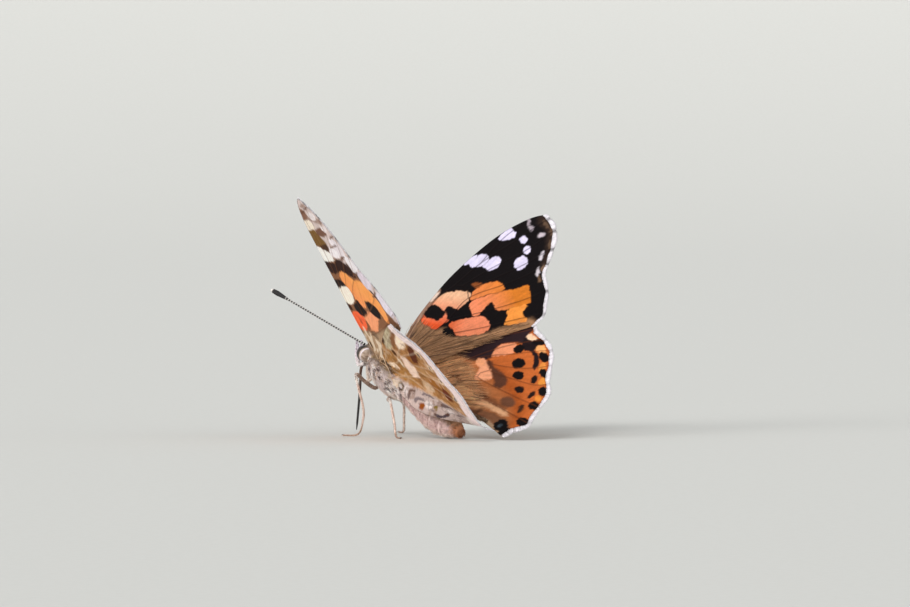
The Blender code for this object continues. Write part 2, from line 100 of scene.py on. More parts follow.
def new_piece(name, points, faces, finish, tint=None, patch=None):
    """A mesh object from points in metres and triangles, with a colour for each point and a UV for
    each corner."""
    mesh = bpy.data.meshes.new(name)
    mesh.vertices.add(len(points))
    mesh.vertices.foreach_set("co", points.astype(np.float32).ravel())
    mesh.loops.add(faces.size)
    mesh.loops.foreach_set("vertex_index", faces.astype(np.int32).ravel())
    mesh.polygons.add(len(faces))
    mesh.polygons.foreach_set("loop_start", np.arange(0, faces.size, 3, dtype=np.int32))
    mesh.update(calc_edges=True)
    if tint is not None:
        colours = mesh.color_attributes.new("tint", "FLOAT_COLOR", "POINT")
        rgba = np.concatenate([np.clip(tint, 0, 1), np.ones((len(points), 1))], 1)
        colours.data.foreach_set("color", rgba.astype(np.float32).ravel())
    if patch is not None:
        layer = mesh.uv_layers.new(name="OFBake")
        layer.data.foreach_set("uv", patch.astype(np.float32).ravel())
    mesh.shade_smooth()
    mesh.materials.append(finish)
    mesh.validate()
    piece = bpy.data.objects.new(name, mesh)
    bpy.context.scene.collection.objects.link(piece)
    return piece


# Pale matt paper: no gloss and hardly any grain, so that the eye stays on the insect. Its tooth is drawn
# 1 mm across, coarser than real, so that it shows.
paper = bpy.data.materials.new("matt_backdrop_paper")
paper.use_nodes = True
paper_shader = paper.node_tree.nodes["Principled BSDF"]
paper_shader.inputs["Roughness"].default_value = 0.9
paper_shader.inputs["Specular IOR Level"].default_value = 0.2
paper_place = add_node(paper.node_tree, "ShaderNodeTexCoord")
paper_grain = add_node(paper.node_tree, "ShaderNodeTexNoise", {"Scale": 900.0, "Detail": 3.0},
                       [(paper_place.outputs["Object"], "Vector")])
paper_tone = add_node(paper.node_tree, "ShaderNodeMix", {"data_type": "RGBA"},
                      [(paper_grain.outputs["Fac"], "Factor")])
for place, shade in zip((6, 7), ("#cbcac4", "#d1d0cb")):
    paper_tone.inputs[place].default_value = (*linear(shade), 1)
paper.node_tree.links.new(paper_tone.outputs[2], paper_shader.inputs["Base Color"])

# Profile (distance from the middle, height) in metres, carried round a full turn
ROLL = np.array([(0.4, 0.0), (1.2, 0.0), (1.6, 0.0), (1.9, 0.015), (2.15, 0.05), (2.35, 0.1), (2.5, 0.16),
                 (2.6, 0.23), (2.65, 0.32)])
ROLL_SIDES = 96
turn = np.linspace(0, 2 * math.pi, ROLL_SIDES, endpoint=False)
roll_points = np.stack([ROLL[:, :1] * np.cos(turn), ROLL[:, :1] * np.sin(turn),
                        np.repeat(ROLL[:, 1:], ROLL_SIDES, 1)], 2).reshape(-1, 3)
ring = np.arange(ROLL_SIDES)
middle_fan = np.stack([np.full(ROLL_SIDES, len(roll_points)), ring, np.roll(ring, -1)], 1)
roll_faces = np.concatenate([triangles_of_grid(len(ROLL), ROLL_SIDES, True)[:, ::-1], middle_fan])
floor = new_piece("floor", np.vstack([roll_points, (0, 0, 0)]), roll_faces, paper)

sky = bpy.data.worlds.new("pale_studio_sky")
bpy.context.scene.world = sky
sky.use_nodes = True
sky_light = sky.node_tree.nodes["Background"]
sky_light.inputs["Color"].default_value = (*linear("#eef1f4"), 1)
sky_light.inputs["Strength"].default_value = 0.7

view_right = np.array([-math.cos(CAMERA_YAW), math.sin(CAMERA_YAW), 0.0])
level_back = np.array([math.sin(CAMERA_YAW), math.cos(CAMERA_YAW), 0.0])
view_up = math.cos(CAMERA_TILT) * np.array([0, 0, 1.0]) - math.sin(CAMERA_TILT) * level_back
view_back = math.cos(CAMERA_TILT) * level_back + math.sin(CAMERA_TILT) * np.array([0, 0, 1.0])


def turned_to(right, upward, back):
    """The rotation whose three columns are a thing's right, up and back, as Blender's camera and
    lamps use them."""
    return Matrix(np.stack([right, upward, back], 1).tolist()).to_euler()


camera = bpy.data.objects.new("camera", bpy.data.cameras.new("camera"))
camera.data.sensor_width = FILM_WIDTH
camera.data.lens = FILM_WIDTH * CAMERA_AWAY / (PICTURE_PIXELS / PIXELS_PER_MM)
camera.data.clip_start = 0.01
camera.data.clip_end = 20.0
camera.location = (WING_POINT + CAMERA_RIGHT * view_right + CAMERA_UP * view_up
                   + CAMERA_AWAY * view_back) * MM
camera.rotation_euler = turned_to(view_right, view_up, view_back)
bpy.context.scene.collection.objects.link(camera)
bpy.context.scene.camera = camera
bpy.context.scene.view_settings.view_transform = "Standard"

# Each lamp: (way from the insect as right, up and back of the view, strength, spread in degrees)
LAMPS = {"key": ((-0.38, 0.78, 0.72), 1.15, 28), "side": ((-0.78, 0.2, 0.62), 2.1, 36),
         "fill": ((0.8, 0.35, 0.5), 0.6, 60)}
for name, (way, strength, spread) in LAMPS.items():
    lamp = bpy.data.objects.new(name, bpy.data.lights.new(name, "SUN"))
    lamp.data.energy = strength
    lamp.data.angle = math.radians(spread)
    back = way[0] * view_right + way[1] * view_up + way[2] * view_back
    back = back / np.linalg.norm(back)
    right = np.cross((0, 0, 1.0), back)
    right = right / np.linalg.norm(right)
    lamp.rotation_euler = turned_to(right, np.cross(back, right), back)
    bpy.context.scene.collection.objects.link(lamp)


# The body: head, thorax and abdomen are one soft-skinned spindle of chitin, ringed on the abdomen.
# The skin is seen only between the hairs, so it is a loft under the coat, inside the solids by the
# coat's depth. Wings, legs and feelers are let into it.

# The body's own axes, and its pitch over level ground
BODY_PITCH = math.radians(24.3)
AHEAD = np.array([0.0, -math.cos(BODY_PITCH), math.sin(BODY_PITCH)])
LEFT = np.array([1.0, 0.0, 0.0])
UP = np.array([0.0, math.sin(BODY_PITCH), math.cos(BODY_PITCH)])
FLOOR_GAP = 0.01

# Rows of the trunk: (ahead of the wing point, centre's height, half height, half width)
TRUNK = np.array([
    (4.35, 0.12, 1.05, 1.05), (4.0, 0.0, 1.5, 1.4), (3.0, -0.2, 2.12, 1.88), (1.6, -0.3, 2.45, 2.15),
    (0.0, -0.4, 2.6, 2.25), (-1.6, -0.45, 2.5, 2.2), (-3.2, -0.5, 2.05, 1.9), (-4.4, -0.55, 1.75, 1.65),
    (-6.0, -0.6, 1.95, 1.85), (-8.5, -0.65, 2.25, 2.15), (-11.0, -0.65, 2.4, 2.3), (-13.0, -0.6, 2.2, 2.1),
    (-14.8, -0.55, 1.55, 1.5), (-16.0, -0.5, 0.88, 0.88)])
TRUNK_TIP = -16.7
WAIST = -4.3
ABDOMEN_RINGS = 7
HEAD_AHEAD = 5.9
# Depth of the coat under the solids' surface: (places ahead, depths)
COAT_DEPTH = ([-16.5, -14, -5, -3, 3, 4.3], [0.12, 0.3, 0.3, 0.5, 0.5, 0.25])
SKIN_START = 7.015
SKIN_END = -16.6
SKIN_GRID = (300, 96)


def to_world(places):
    """Metres of body places (ahead, left, up): each number times its axis, from the wing point, and nothing
    lower than a small gap over the floor."""
    found = (places @ np.array([AHEAD, LEFT, UP]) + WING_POINT) * MM
    found[..., 2] = np.maximum(found[..., 2], FLOOR_GAP * MM)
    return found


def trunk_section(ahead):
    """Centre height, half height and half width: a cubic through the rows, rounded off past the last one."""
    ahead = np.asarray(ahead, float)
    at = np.clip(ahead, TRUNK[-1, 0], TRUNK[0, 0]).ravel()
    place = -TRUNK[:, 0]
    slopes = np.gradient(TRUNK[:, 1:], place, axis=0)
    low = np.clip(np.searchsorted(place, -at, side="right") - 1, 0, len(TRUNK) - 2)
    width = (place[low + 1] - place[low])[:, None]
    t = ((-at - place[low]) / width[:, 0])[:, None]
    found = (TRUNK[low, 1:] * (2 * t**3 - 3 * t**2 + 1) + TRUNK[low + 1, 1:] * (3 * t**2 - 2 * t**3)
             + slopes[low] * width * (t**3 - 2 * t**2 + t) + slopes[low + 1] * width * (t**3 - t**2))
    past = np.clip((TRUNK[-1, 0] - ahead.ravel()) / (TRUNK[-1, 0] - TRUNK_TIP), 0, 1)
    found[:, 1:] *= np.sqrt(np.clip(1 - past**2, 1e-4, 1))[:, None]
    return np.moveaxis(found.reshape(*ahead.shape, 3), -1, 0)


def skin_place(ahead, turn):
    """A ring round the body at each place ahead: the larger of the head's, neck's and trunk's, by a
    sixth-power mean."""
    middle, high, wide = trunk_section(ahead)
    coat = np.interp(ahead, *COAT_DEPTH)
    on_trunk = np.clip((4.75 - ahead) / 0.4, 0, 1)
    high, wide = np.clip(high - coat, 0.02, None) * on_trunk, np.clip(wide - coat, 0.02, None) * on_trunk
    ball = np.sqrt(np.clip(1 - ((ahead - HEAD_AHEAD) / 1.12) ** 2, 0, 1))
    neck = 0.62 * np.clip((5.4 - ahead) * 4, 0, 1) * np.clip((ahead - 3) * 4, 0, 1)
    ends = np.sqrt(np.clip((ahead + 16.62) * 3.0, 0, 1))
    high = ((1.22 * ball) ** 6 + high**6 + neck**6) ** (1 / 6) * ends
    wide = ((1.0 * ball) ** 6 + wide**6 + neck**6) ** (1 / 6) * ends
    middle = np.where(ahead > 4.35, np.interp(ahead, [4.35, 5.1], [0.12, 0.4]), middle)
    ring = np.clip((WAIST - ahead) / (WAIST - TRUNK_TIP), 0, 1)
    groove = 1 - 0.05 * np.cos(math.pi * ABDOMEN_RINGS * ring) ** 12 * (ring > 0)
    wide, high = wide * groove, high * groove
    return np.stack([ahead + 0 * turn, wide * np.cos(turn), middle + high * np.sin(turn)], -1)


def facing_out(points, faces):
    """The faces, each turned round if the space that they enclose comes out negative."""
    corner = points[faces]
    inside = np.einsum("ij,ij->i", corner[:, 0], np.cross(corner[:, 1], corner[:, 2])).sum()
    return faces[:, ::-1] if inside < 0 else faces


def closed_loft(rings):
    """Points and outward triangles of a run of rings, each end closed by a fan to the middle of its
    last ring."""
    rows, sides = rings.shape[:2]
    points = np.vstack([rings.reshape(-1, 3), rings[0].mean(0), rings[-1].mean(0)])
    ring = np.arange(sides)
    start = np.stack([np.full(sides, rows * sides), np.roll(ring, -1), ring], 1)
    last = ring + (rows - 1) * sides
    end = np.stack([np.full(sides, rows * sides + 1), last, np.roll(last, -1)], 1)
    faces = np.concatenate([triangles_of_grid(rows, sides, True), start, end])
    return points, facing_out(points, faces)


def soft_noise(places, size, seed):
    """Smooth noise from -1 to 1: random values on a square lattice of that size, blended between
    its corners."""
    table = np.random.default_rng(seed).uniform(-1, 1, (257, 257))
    at = places / size + 1000
    low = np.floor(at).astype(int)
    part = at - low
    part = part * part * (3 - 2 * part)
    i, j = low[..., 0] % 256, low[..., 1] % 256
    near = table[i, j] * (1 - part[..., 0]) + table[i + 1, j] * part[..., 0]
    far = table[i, j + 1] * (1 - part[..., 0]) + table[i + 1, j + 1] * part[..., 0]
    return near * (1 - part[..., 1]) + far * part[..., 1]


def mixed(start, end, share):
    """From one colour to the other by a share that is held between 0 and 1."""
    share = np.clip(share, 0, 1)[..., None]
    return start * (1 - share) + end * share


def body_tint(ahead, turn, seed):
    """The coat's markings by place: lilac-grey flanks, brown back, cream belly and face, brown tail
    and rings."""
    rise = np.sin(turn)
    spot = np.stack([ahead, turn * 2.0], -1)
    patchy = soft_noise(spot, 0.7, seed) + 0.5 * soft_noise(spot, 0.25, seed + 1)
    dark_marks = soft_noise(spot + 40, 0.5, seed + 2) + 0.5 * soft_noise(spot + 40, 0.22, seed + 3)
    flank = mixed(linear("#d9c6c2"), linear("#fff4ee"), 0.5 + 0.8 * patchy)
    flank = mixed(flank, linear("#c39a72"), 1 - np.abs(dark_marks - 0.22) / 0.12)
    flank = mixed(flank, linear("#6a5650"), (dark_marks - 0.36) * 5)
    back = mixed(linear("#84684c"), linear("#b3946c"), 0.5 + 0.7 * patchy)
    belly = mixed(linear("#ecd3c6"), linear("#fdefe4"), 0.5 + 0.6 * patchy)
    tint = mixed(flank, back, (rise - 0.35) * 3 + 0.4 * patchy)
    tint = mixed(tint, belly, (-rise - 0.45) * 3 + 0.3 * patchy)
    ring = np.clip((WAIST - ahead) / (WAIST - TRUNK_TIP), 0, 1) * ABDOMEN_RINGS
    abdomen = mixed(linear("#d8b4b0"), linear("#eed2ca"), 0.5 + 0.5 * patchy)
    abdomen = mixed(abdomen, linear("#8f6a4a"), (rise - 0.25) * 3 + 0.4 * patchy)
    abdomen = mixed(abdomen, linear("#f2dccf"), (-rise - 0.5) * 3)
    abdomen = mixed(abdomen, linear("#a67a62"), 0.35 * np.cos(2 * math.pi * ring) ** 8)
    abdomen = mixed(abdomen, linear("#a86a44"), (-ahead - 14.6) * 0.9 + 0.3 * patchy)
    tint = mixed(tint, abdomen, (WAIST + 0.6 - ahead) * 1.5)
    face = mixed(linear("#dfc8ba"), linear("#fdf0e6"), 0.5 + 0.8 * patchy)
    face = mixed(face, linear("#94796a"), (dark_marks - 0.45) * 3)
    face = mixed(face, linear("#9a8270"), (rise - 0.55) * 4)
    return mixed(tint, face, (ahead - 4.5) * 2)


def tinted_finish(name, settings):
    """A material with the settings on its shader and each piece's own tint as its base colour. Returns
    the material, its nodes, its shader and the place on the object that its patterns read."""
    finish = bpy.data.materials.new(name)
    finish.use_nodes = True
    tree = finish.node_tree
    shader = tree.nodes["Principled BSDF"]
    for socket, value in settings.items():
        shader.inputs[socket].default_value = value
    tint = add_node(tree, "ShaderNodeAttribute", {"attribute_name": "tint"})
    tree.links.new(tint.outputs["Color"], shader.inputs["Base Color"])
    return finish, tree, shader, add_node(tree, "ShaderNodeTexCoord").outputs["Object"]


# Chitin under a thin bloom of dust-fine scales 0.1 mm across: half matt, with no clear highlight.
chitin, tree, shader, place = tinted_finish("scaled_chitin", {"Roughness": 0.7, "IOR": 1.5})
cells = add_node(tree, "ShaderNodeTexVoronoi", {"Scale": 9000.0}, [(place, "Vector")])
bump = add_node(tree, "ShaderNodeBump", {"Strength": 0.5, "Distance": 0.00003},
                [(cells.outputs["Distance"], "Height")])
tree.links.new(bump.outputs["Normal"], shader.inputs["Normal"])

skin_ahead, skin_turn = np.meshgrid(np.linspace(SKIN_START, SKIN_END, SKIN_GRID[0]),
                                    np.linspace(0, 2 * math.pi, SKIN_GRID[1], endpoint=False), indexing="ij")
skin_points, skin_faces = closed_loft(skin_place(skin_ahead, skin_turn))
skin_tint = body_tint(skin_ahead, skin_turn, 3).reshape(-1, 3) * 0.9
skin_tint = np.vstack([skin_tint, skin_tint[0], skin_tint[-1]])
body = new_piece("body_skin", to_world(skin_points), skin_faces, chitin, skin_tint)
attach(body, "root")
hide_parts("head", "thorax", "abdomen")


# The coat: hair-like scales rooted all over the body, long and loose on the thorax, short and close
# on the abdomen and face. Each is a thin closed blade that leaves the skin at a low angle and lies
# back along the body.

BLADE_STEPS = np.array([0.0, 0.4, 0.75])
BLADE_WIDTHS = np.array([0.7, 1.0, 0.65])


def unit(vectors):
    """Each vector divided by its own length."""
    return vectors / np.maximum(np.linalg.norm(vectors, axis=-1, keepdims=True), 1e-12)


def blades(roots, ways, normals, lengths, widths, bend, thin=0.45):
    """Closed three-sided blades: a centre line that bends back to the surface as the square of its
    length, and round it three rings of three corners, ending in a point. Returns points and outward
    triangles."""
    across = unit(np.cross(ways, normals))
    lift = unit(np.cross(across, ways))
    run = BLADE_STEPS[None, :, None] * lengths[:, None, None]
    sag = bend * BLADE_STEPS[None, :, None] * run
    line = roots[:, None] + ways[:, None] * run - normals[:, None] * sag
    angle = np.radians([90, 210, 330])
    spread = (BLADE_WIDTHS[None, :, None, None] * widths[:, None, None, None] / 2
              * (np.cos(angle)[None, None, :, None] * across[:, None, None]
                 + thin * np.sin(angle)[None, None, :, None] * lift[:, None, None]))
    rings = (line[:, :, None] + spread).reshape(len(roots), 9, 3)
    tips = (roots + ways * lengths[:, None] - normals * (bend * lengths)[:, None])[:, None]
    points = np.concatenate([rings, tips], 1).reshape(-1, 3)
    template = [(0, 2, 1)]
    for row in (0, 3):
        for side in range(3):
            a, b = row + side, row + (side + 1) % 3
            template += [(a, b, b + 3), (a, b + 3, a + 3)]
    template += [(6, 7, 9), (7, 8, 9), (8, 6, 9)]
    faces = (np.array(template)[None] + 10 * np.arange(len(roots))[:, None, None]).reshape(-1, 3)
    return points, facing_out(points, faces)


def blade_tint(colours, root_shade=0.85, tip_shade=1.08):
    """One colour a blade, darker at its root and lighter at its tip."""
    ramp = np.array([root_shade] * 3 + [1.0] * 3 + [1.05] * 3 + [tip_shade])
    return (colours[:, None] * ramp[None, :, None]).reshape(-1, 3)


def blade_patch(spots, faces):
    """Corner UVs of blades: a patch 0.003 across at each root's place on the unwrapped skin."""
    corner = np.array([(0, 0), (0.5, 0), (1, 0)] * 3 + [(0.5, 1)], float)
    corner[:9, 1] = np.repeat(BLADE_STEPS, 3)
    return (spots[:, None] + 0.003 * corner[None]).reshape(-1, 2)[faces.ravel()]


# Turn from one root to the next that never lines them up in rows
GOLDEN_TURN = 2.399963


def spread_over_body(count, start, end, seed):
    """Places ahead and turns for roots, evenly by area: more where the body is wider, each jittered
    in its cell."""
    draw = np.random.default_rng(seed)
    line = np.linspace(start, end, 400)
    ring = skin_place(line, np.zeros(400))[:, 1] + 0.05
    share = np.concatenate([[0], np.cumsum((ring[1:] + ring[:-1]) / 2)])
    ahead = np.interp((np.arange(count) + draw.uniform(0, 1, count)) / count, share / share[-1], line)
    return ahead, (np.arange(count) * GOLDEN_TURN + draw.uniform(-0.3, 0.3, count)) % (2 * math.pi)


# Loose hair scales: matt with a soft sheen where light grazes them. They lie in tufts of about 0.3 mm,
# some a shade lighter than others, and each is drawn several times as thick as a real one so that it shows.
hair, tree, shader, place = tinted_finish("hair_scales", {
    "Roughness": 0.62, "IOR": 1.5, "Specular IOR Level": 0.25, "Sheen Weight": 0.08})
tufts = add_node(tree, "ShaderNodeTexNoise", {"Scale": 3500.0, "Detail": 3.0}, [(place, "Vector")])
lightness = add_node(tree, "ShaderNodeMapRange", {"To Min": 0.82, "To Max": 1.18},
                     [(tufts.outputs["Fac"], "Value")])
tint = shader.inputs["Base Color"].links[0].from_socket
tone = add_node(tree, "ShaderNodeHueSaturation", {},
                [(tint, "Color"), (lightness.outputs["Result"], "Value")])
tree.links.new(tone.outputs["Color"], shader.inputs["Base Color"])

ROOT_DEPTH = 0.05
COAT_BEND = 0.16
# Share of a coat's length by place: (places ahead, shares)
COAT_SHORTENED = ([-16.5, -14, 3, 4.6, 6.9], [0.7, 1, 1, 0.7, 0.8])
# Coats: (count, from, to, length, width, angle off the skin, record slot)
COATS = {
    "coat_face": (4200, 6.95, 4.6, 0.5, 0.07, 24, "face_fur"),
    "coat_thorax": (12200, 4.7, -4.6, 1.1, 0.1, 15, "body_fur"),
    "coat_abdomen": (10500, -4.0, -16.5, 0.72, 0.1, 13, "body_fur"),
}
for name, (count, start, end, length, width, angle, slot) in COATS.items():
    draw = np.random.default_rng(len(name))
    ahead, turn = spread_over_body(count, start, end, len(name) + 40)
    root = skin_place(ahead, turn)
    back = unit(skin_place(ahead - 0.05, turn) - root)
    around = unit(skin_place(ahead, turn + 0.02) - root)
    normal = unit(np.cross(around, -back))
    normal = normal * np.sign((normal * (root - ahead[:, None] * (1, 0, 0))).sum(1))[:, None]
    rise = np.radians(angle * draw.uniform(0.5, 1.4, count))[:, None]
    sway = draw.normal(0, 0.22, count)[:, None]
    way = unit((back + around * sway) * np.cos(rise) + normal * np.sin(rise))
    size = length * draw.uniform(0.7, 1.25, count) * np.interp(ahead, *COAT_SHORTENED)
    thick = width * draw.uniform(0.7, 1.3, count)
    points, faces = blades(root - normal * ROOT_DEPTH, way, normal, size, thick, COAT_BEND)
    colours = body_tint(ahead, turn, 3) * draw.uniform(0.85, 1.15, count)[:, None]
    spots = np.stack([(7.1 - ahead) / 24 * 0.99, turn / (2 * math.pi) * 0.99], 1)
    coat = new_piece(name, to_world(points), faces, hair, blade_tint(colours), blade_patch(spots, faces))
    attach(coat, "root")


# The eyes: two large domes of thousands of tiny lenses, horn-grey with dark mottles and a wet shine, with a
# painted highlight: a lilac-white band down each.
# Each sits in a socket at the side of the head with a rim of pale scales.

SIDES = {"left": 1, "right": -1}
EYE_CENTRE = np.array([HEAD_AHEAD, 0.8, 0.5])
EYE_RADII = np.array([0.98, 0.93, 1.08])
EYE_GRID = (70, 110)

# Clear chitin lenses over pigment: glossy, with a fine net of lens borders. Real lenses are 0.02 mm across,
# too fine to show, so the net is drawn three times as coarse.
lenses, tree, shader, place = tinted_finish("compound_eye_lenses", {"Roughness": 0.28, "IOR": 1.52})
cells = add_node(tree, "ShaderNodeTexVoronoi", {"Scale": 17000.0, "Randomness": 0.25}, [(place, "Vector")])
bump = add_node(tree, "ShaderNodeBump", {"Strength": 0.35, "Distance": 0.00002, "invert": True},
                [(cells.outputs["Distance"], "Height")])
tree.links.new(bump.outputs["Normal"], shader.inputs["Normal"])

eye_dip, eye_turn = np.meshgrid(np.linspace(0.02, math.pi - 0.02, EYE_GRID[0]),
                                np.linspace(0, 2 * math.pi, EYE_GRID[1], endpoint=False), indexing="ij")
eye_ball = np.stack([np.sin(eye_dip) * np.cos(eye_turn), np.cos(eye_dip),
                     np.sin(eye_dip) * np.sin(eye_turn)], -1)
for name, side in SIDES.items():
    rings = EYE_CENTRE * (1, side, 1) + eye_ball * (1, side, 1) * EYE_RADII
    points, faces = closed_loft(rings)
    spot = np.stack([eye_ball[..., 0], eye_ball[..., 2]], -1)
    mottle = soft_noise(spot, 0.16, 21) + 0.6 * soft_noise(spot, 0.07, 22)
    tint = mixed(linear("#c2ab98"), linear("#7a6250"), 0.4 + 0.7 * mottle)
    crescent = eye_ball[..., 0] + 0.12 * eye_ball[..., 2] ** 2
    # Painted highlight: a lilac-white band behind the middle of each eye, standing in for a reflection
    tint = mixed(tint, linear("#e6dade"), (1.2 - np.abs(crescent + 0.42) / 0.13) * 0.8)
    tint = mixed(tint, mixed(linear("#1e1613"), linear("#4c3b30"), mottle), (crescent + 0.24) * 7)
    tint = tint.reshape(-1, 3)
    tint = np.vstack([tint, tint[0], tint[-1]])
    eye = new_piece(f"compound_eye_{name}", to_world(points), faces, lenses, tint)
    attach(eye, "root")
    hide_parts(f"eye_{name}")


# The wings: a dry membrane thinner than paper, stretched on stiff hollow veins and tiled on both
# faces with flat pigment scales 0.1 mm long. Fore and hind wings are hinged in the thorax, the
# forewing lies over the hindwing, and the hindwing is folded down beside the abdomen.

# Of each wing, in degrees: raised over level, swept forwards, tilted about its own length
WING_ANGLES = {
    "forewing_left": (50.0, 4.5, 2.5),
    "forewing_right": (40.7, 9.9, 0.0),
    "hindwing_left": (48.0, 7.5, -1.4),
    "hindwing_right": (40.7, 9.9, 0.0),
}
FOREWING_LENGTH = 31.35
ARCH = 0.5
# How far the tips bend down and twist, and how flat and how deeply folded the hindwings are
FORE_DROOP = {"left": 0.0, "right": 0.35}
FORE_TWIST = {"left": 0.055, "right": 0.0}
HIND_FLATTENED = {"left": 0.9, "right": 0.0}
HIND_DROP = 0.22
FOLD_DEPTH = 2.3
FOLD_REACH = {"left": 1.45, "right": 1.0}
WING_ROOT = np.array([0.0, 0.9, 0.6])
MEMBRANE = 0.11
VEIN_RISE = 0.06
VEIN_HALF_WIDTH = 0.17
# Length of the fringe along the outer margin: (shares of the margin, millimetres)
FRINGE = {"forewing": ([0, 0.3, 0.48, 1], [0.58, 0.56, 0.38, 0.38]),
          "hindwing": ([0, 0.65, 0.85, 1], [0.56, 0.56, 0.7, 0.7])}

# Outlines and veins are flat places (out, fore) from the hinge, at the full size of the wing
FORE_COSTA = [(0.3, 1.5), (3.4, 2.6), (6, 3.7), (9, 4.35), (12.7, 4.8), (16, 5.05), (20, 4.95), (24, 4.6),
              (27, 3.9), (29.4, 2.9), (30.6, 2.1), (31.2, 1.45)]
FORE_OUTER = [(31.2, 1.45), (31.4, 0.5), (31, -1.0), (30, -2.35), (28.7, -3.7), (27, -4.8), (25, -5.9),
              (22.85, -7.05), (21.65, -8.5), (20.3, -10.05), (18.7, -11.25), (17.35, -12.3),
              (16.2, -12.7), (14.4, -12.2)]
FORE_HIND = [(14.4, -12.2), (12, -10.1), (9.4, -7.95), (6.5, -5.9), (4, -3.9), (2.2, -2.3), (0.3, -1.2)]
HIND_COSTA = [(0.3, -1.3), (3.0, -1.7), (5.2, -2.9), (8, -4.9), (11, -7.7), (13.5, -10.4), (14.8, -12.2)]
HIND_OUTER = [(14.8, -12.2), (14.3, -14.1), (13.7, -16.1), (12.65, -18.1), (10.85, -19.75), (8.6, -21.2),
              (6.7, -23), (4.35, -23.5), (2.6, -23.8), (0.8, -24.4), (-0.7, -23.1), (-2.1, -21.7)]
HIND_INNER = [(-2.1, -21.7), (-1.5, -18.5), (-0.9, -15), (-0.4, -11), (0.2, -7.5), (0.9, -4.8),
              (0.3, -3.5)]
FORE_VEINS = [
    [(0.6, 1.2), (3.0, 1.6), (5.5, 2.7), (9, 3.5), (12.5, 3.9), (15.2, 3.3), (20, 2.8), (25, 1.5),
     (30.6, 0.3)],
    [(15.2, 3.3), (15.6, 2.0), (15.2, 0.8), (14.3, -0.2)],
    [(20, 2.8), (24.4, 3.3), (28.6, 2.9)],
    [(15.6, 2.2), (20, 0.7), (25, -1.4), (29.5, -2.2)],
    [(15.3, 1.0), (18.3, -0.8), (22.5, -3.0), (26.6, -4.4)],
    [(0.6, 0.4), (3.0, 0.4), (6.5, 0.3), (10, -0.3), (14.3, -0.2), (18.4, -3.1), (21.2, -4.8),
     (24.2, -5.7)],
    [(10, -0.3), (13, -3.6), (15.4, -5.9), (17.7, -7.8), (20.2, -9.4)],
    [(6.5, 0.3), (8.8, -3.0), (11.4, -6.2), (13.8, -8.7), (16.8, -11.9)],
    [(0.8, -0.4), (3.0, -1.2), (4.6, -3.2), (9.0, -6.6), (12, -9.1), (14.6, -11.6)],
]
HIND_VEINS = [
    [(0.6, -1.9), (3.4, -2.8), (6, -4.6), (10.2, -8.2), (14.0, -12.4)],
    [(3.4, -2.8), (4.8, -6.2), (7.8, -10), (9.8, -13.7), (11.8, -16.8), (12.2, -17.7)],
    [(5.5, -7.1), (9, -10), (12, -13.4), (13.3, -15.6)],
    [(7.8, -10), (6.9, -11.4), (7.9, -15.4), (9.2, -18.3), (10.1, -19.4)],
    [(6.9, -11.4), (5.9, -12), (6.3, -17), (6.8, -20), (7.5, -21.3)],
    [(5.9, -12), (4.3, -11.2), (4.0, -18), (4.1, -22.8)],
    [(0.8, -2.4), (3.0, -3.6), (2.9, -7), (4.3, -11.2)],
    [(1.2, -3.6), (3.0, -7.6), (2.0, -13), (1.6, -18), (1.3, -23.3)],
]


def smooth_path(points, step, closed=False):
    """Points about a step apart on a curve through the given ones, each span a Catmull-Rom piece."""
    points = np.array(points, float)
    if closed:
        padded = np.vstack([points[-1], points, points[0], points[1]])
    else:
        padded = np.vstack([2 * points[0] - points[1], points, 2 * points[-1] - points[-2]])
    found = []
    for p0, p1, p2, p3 in zip(padded, padded[1:], padded[2:], padded[3:]):
        count = max(1, round(float(np.linalg.norm(p2 - p1)) / step))
        t = np.linspace(0, 1, count, endpoint=False)[:, None]
        found.append(0.5 * (2 * p1 + (p2 - p0) * t + (2 * p0 - 5 * p1 + 4 * p2 - p3) * t**2
                            + (3 * p1 - p0 - 3 * p2 + p3) * t**3))
    return np.vstack(found if closed else [*found, points[-1:]])


def along_line(points, share):
    """Places at shares of a smooth line's length, read from its running length."""
    line = smooth_path(points, 0.2)
    run = np.concatenate([[0], np.cumsum(np.linalg.norm(np.diff(line, axis=0), axis=1))])
    return np.stack([np.interp(share * run[-1], run, line[:, k]) for k in range(line.shape[1])], -1)


def scallop(line, ends):
    """0 at the ends of the veins and 1 midway between them: distance to the nearest end over 1.2 mm."""
    return np.clip(np.linalg.norm(line[:, None] - ends[None], axis=-1).min(1) / 1.2, 0, 1) ** 0.8


def shortened(kind, outer, ends):
    """The outer margin drawn in along its own normal by the fringe's length, more between the veins
    than at their ends, and less towards its own two ends."""
    line = smooth_path(outer, 0.25)
    way = unit(np.gradient(line, axis=0))
    share = np.linspace(0, 1, len(line))
    inset = np.interp(share, *FRINGE[kind]) * (0.55 + 0.6 * scallop(line, ends))
    inset = inset * np.clip(np.minimum(share, 1 - share) * 20, 0, 1)
    return line + np.stack([way[:, 1], -way[:, 0]], 1) * inset[:, None]


def wing_grid(costa, outer, hind, rows, columns):
    """Flat places over a wing: each side's line blended across to the other's, less the corners'
    own blend."""
    u = np.linspace(0, 1, rows)
    v = np.linspace(0, 1, columns)
    top, bottom = along_line(costa, u), along_line(hind[::-1], u)
    end = along_line(outer[::-1], v)
    start = costa[0] * v[:, None] + np.array(hind[-1]) * (1 - v[:, None])
    u, v = u[:, None, None], v[None, :, None]
    corners = ((1 - u) * (1 - v) * start[0] + (1 - u) * v * start[-1]
               + u * (1 - v) * end[0] + u * v * end[-1])
    return (1 - v) * bottom[:, None] + v * top[:, None] + (1 - u) * start[None] + u * end[None] - corners


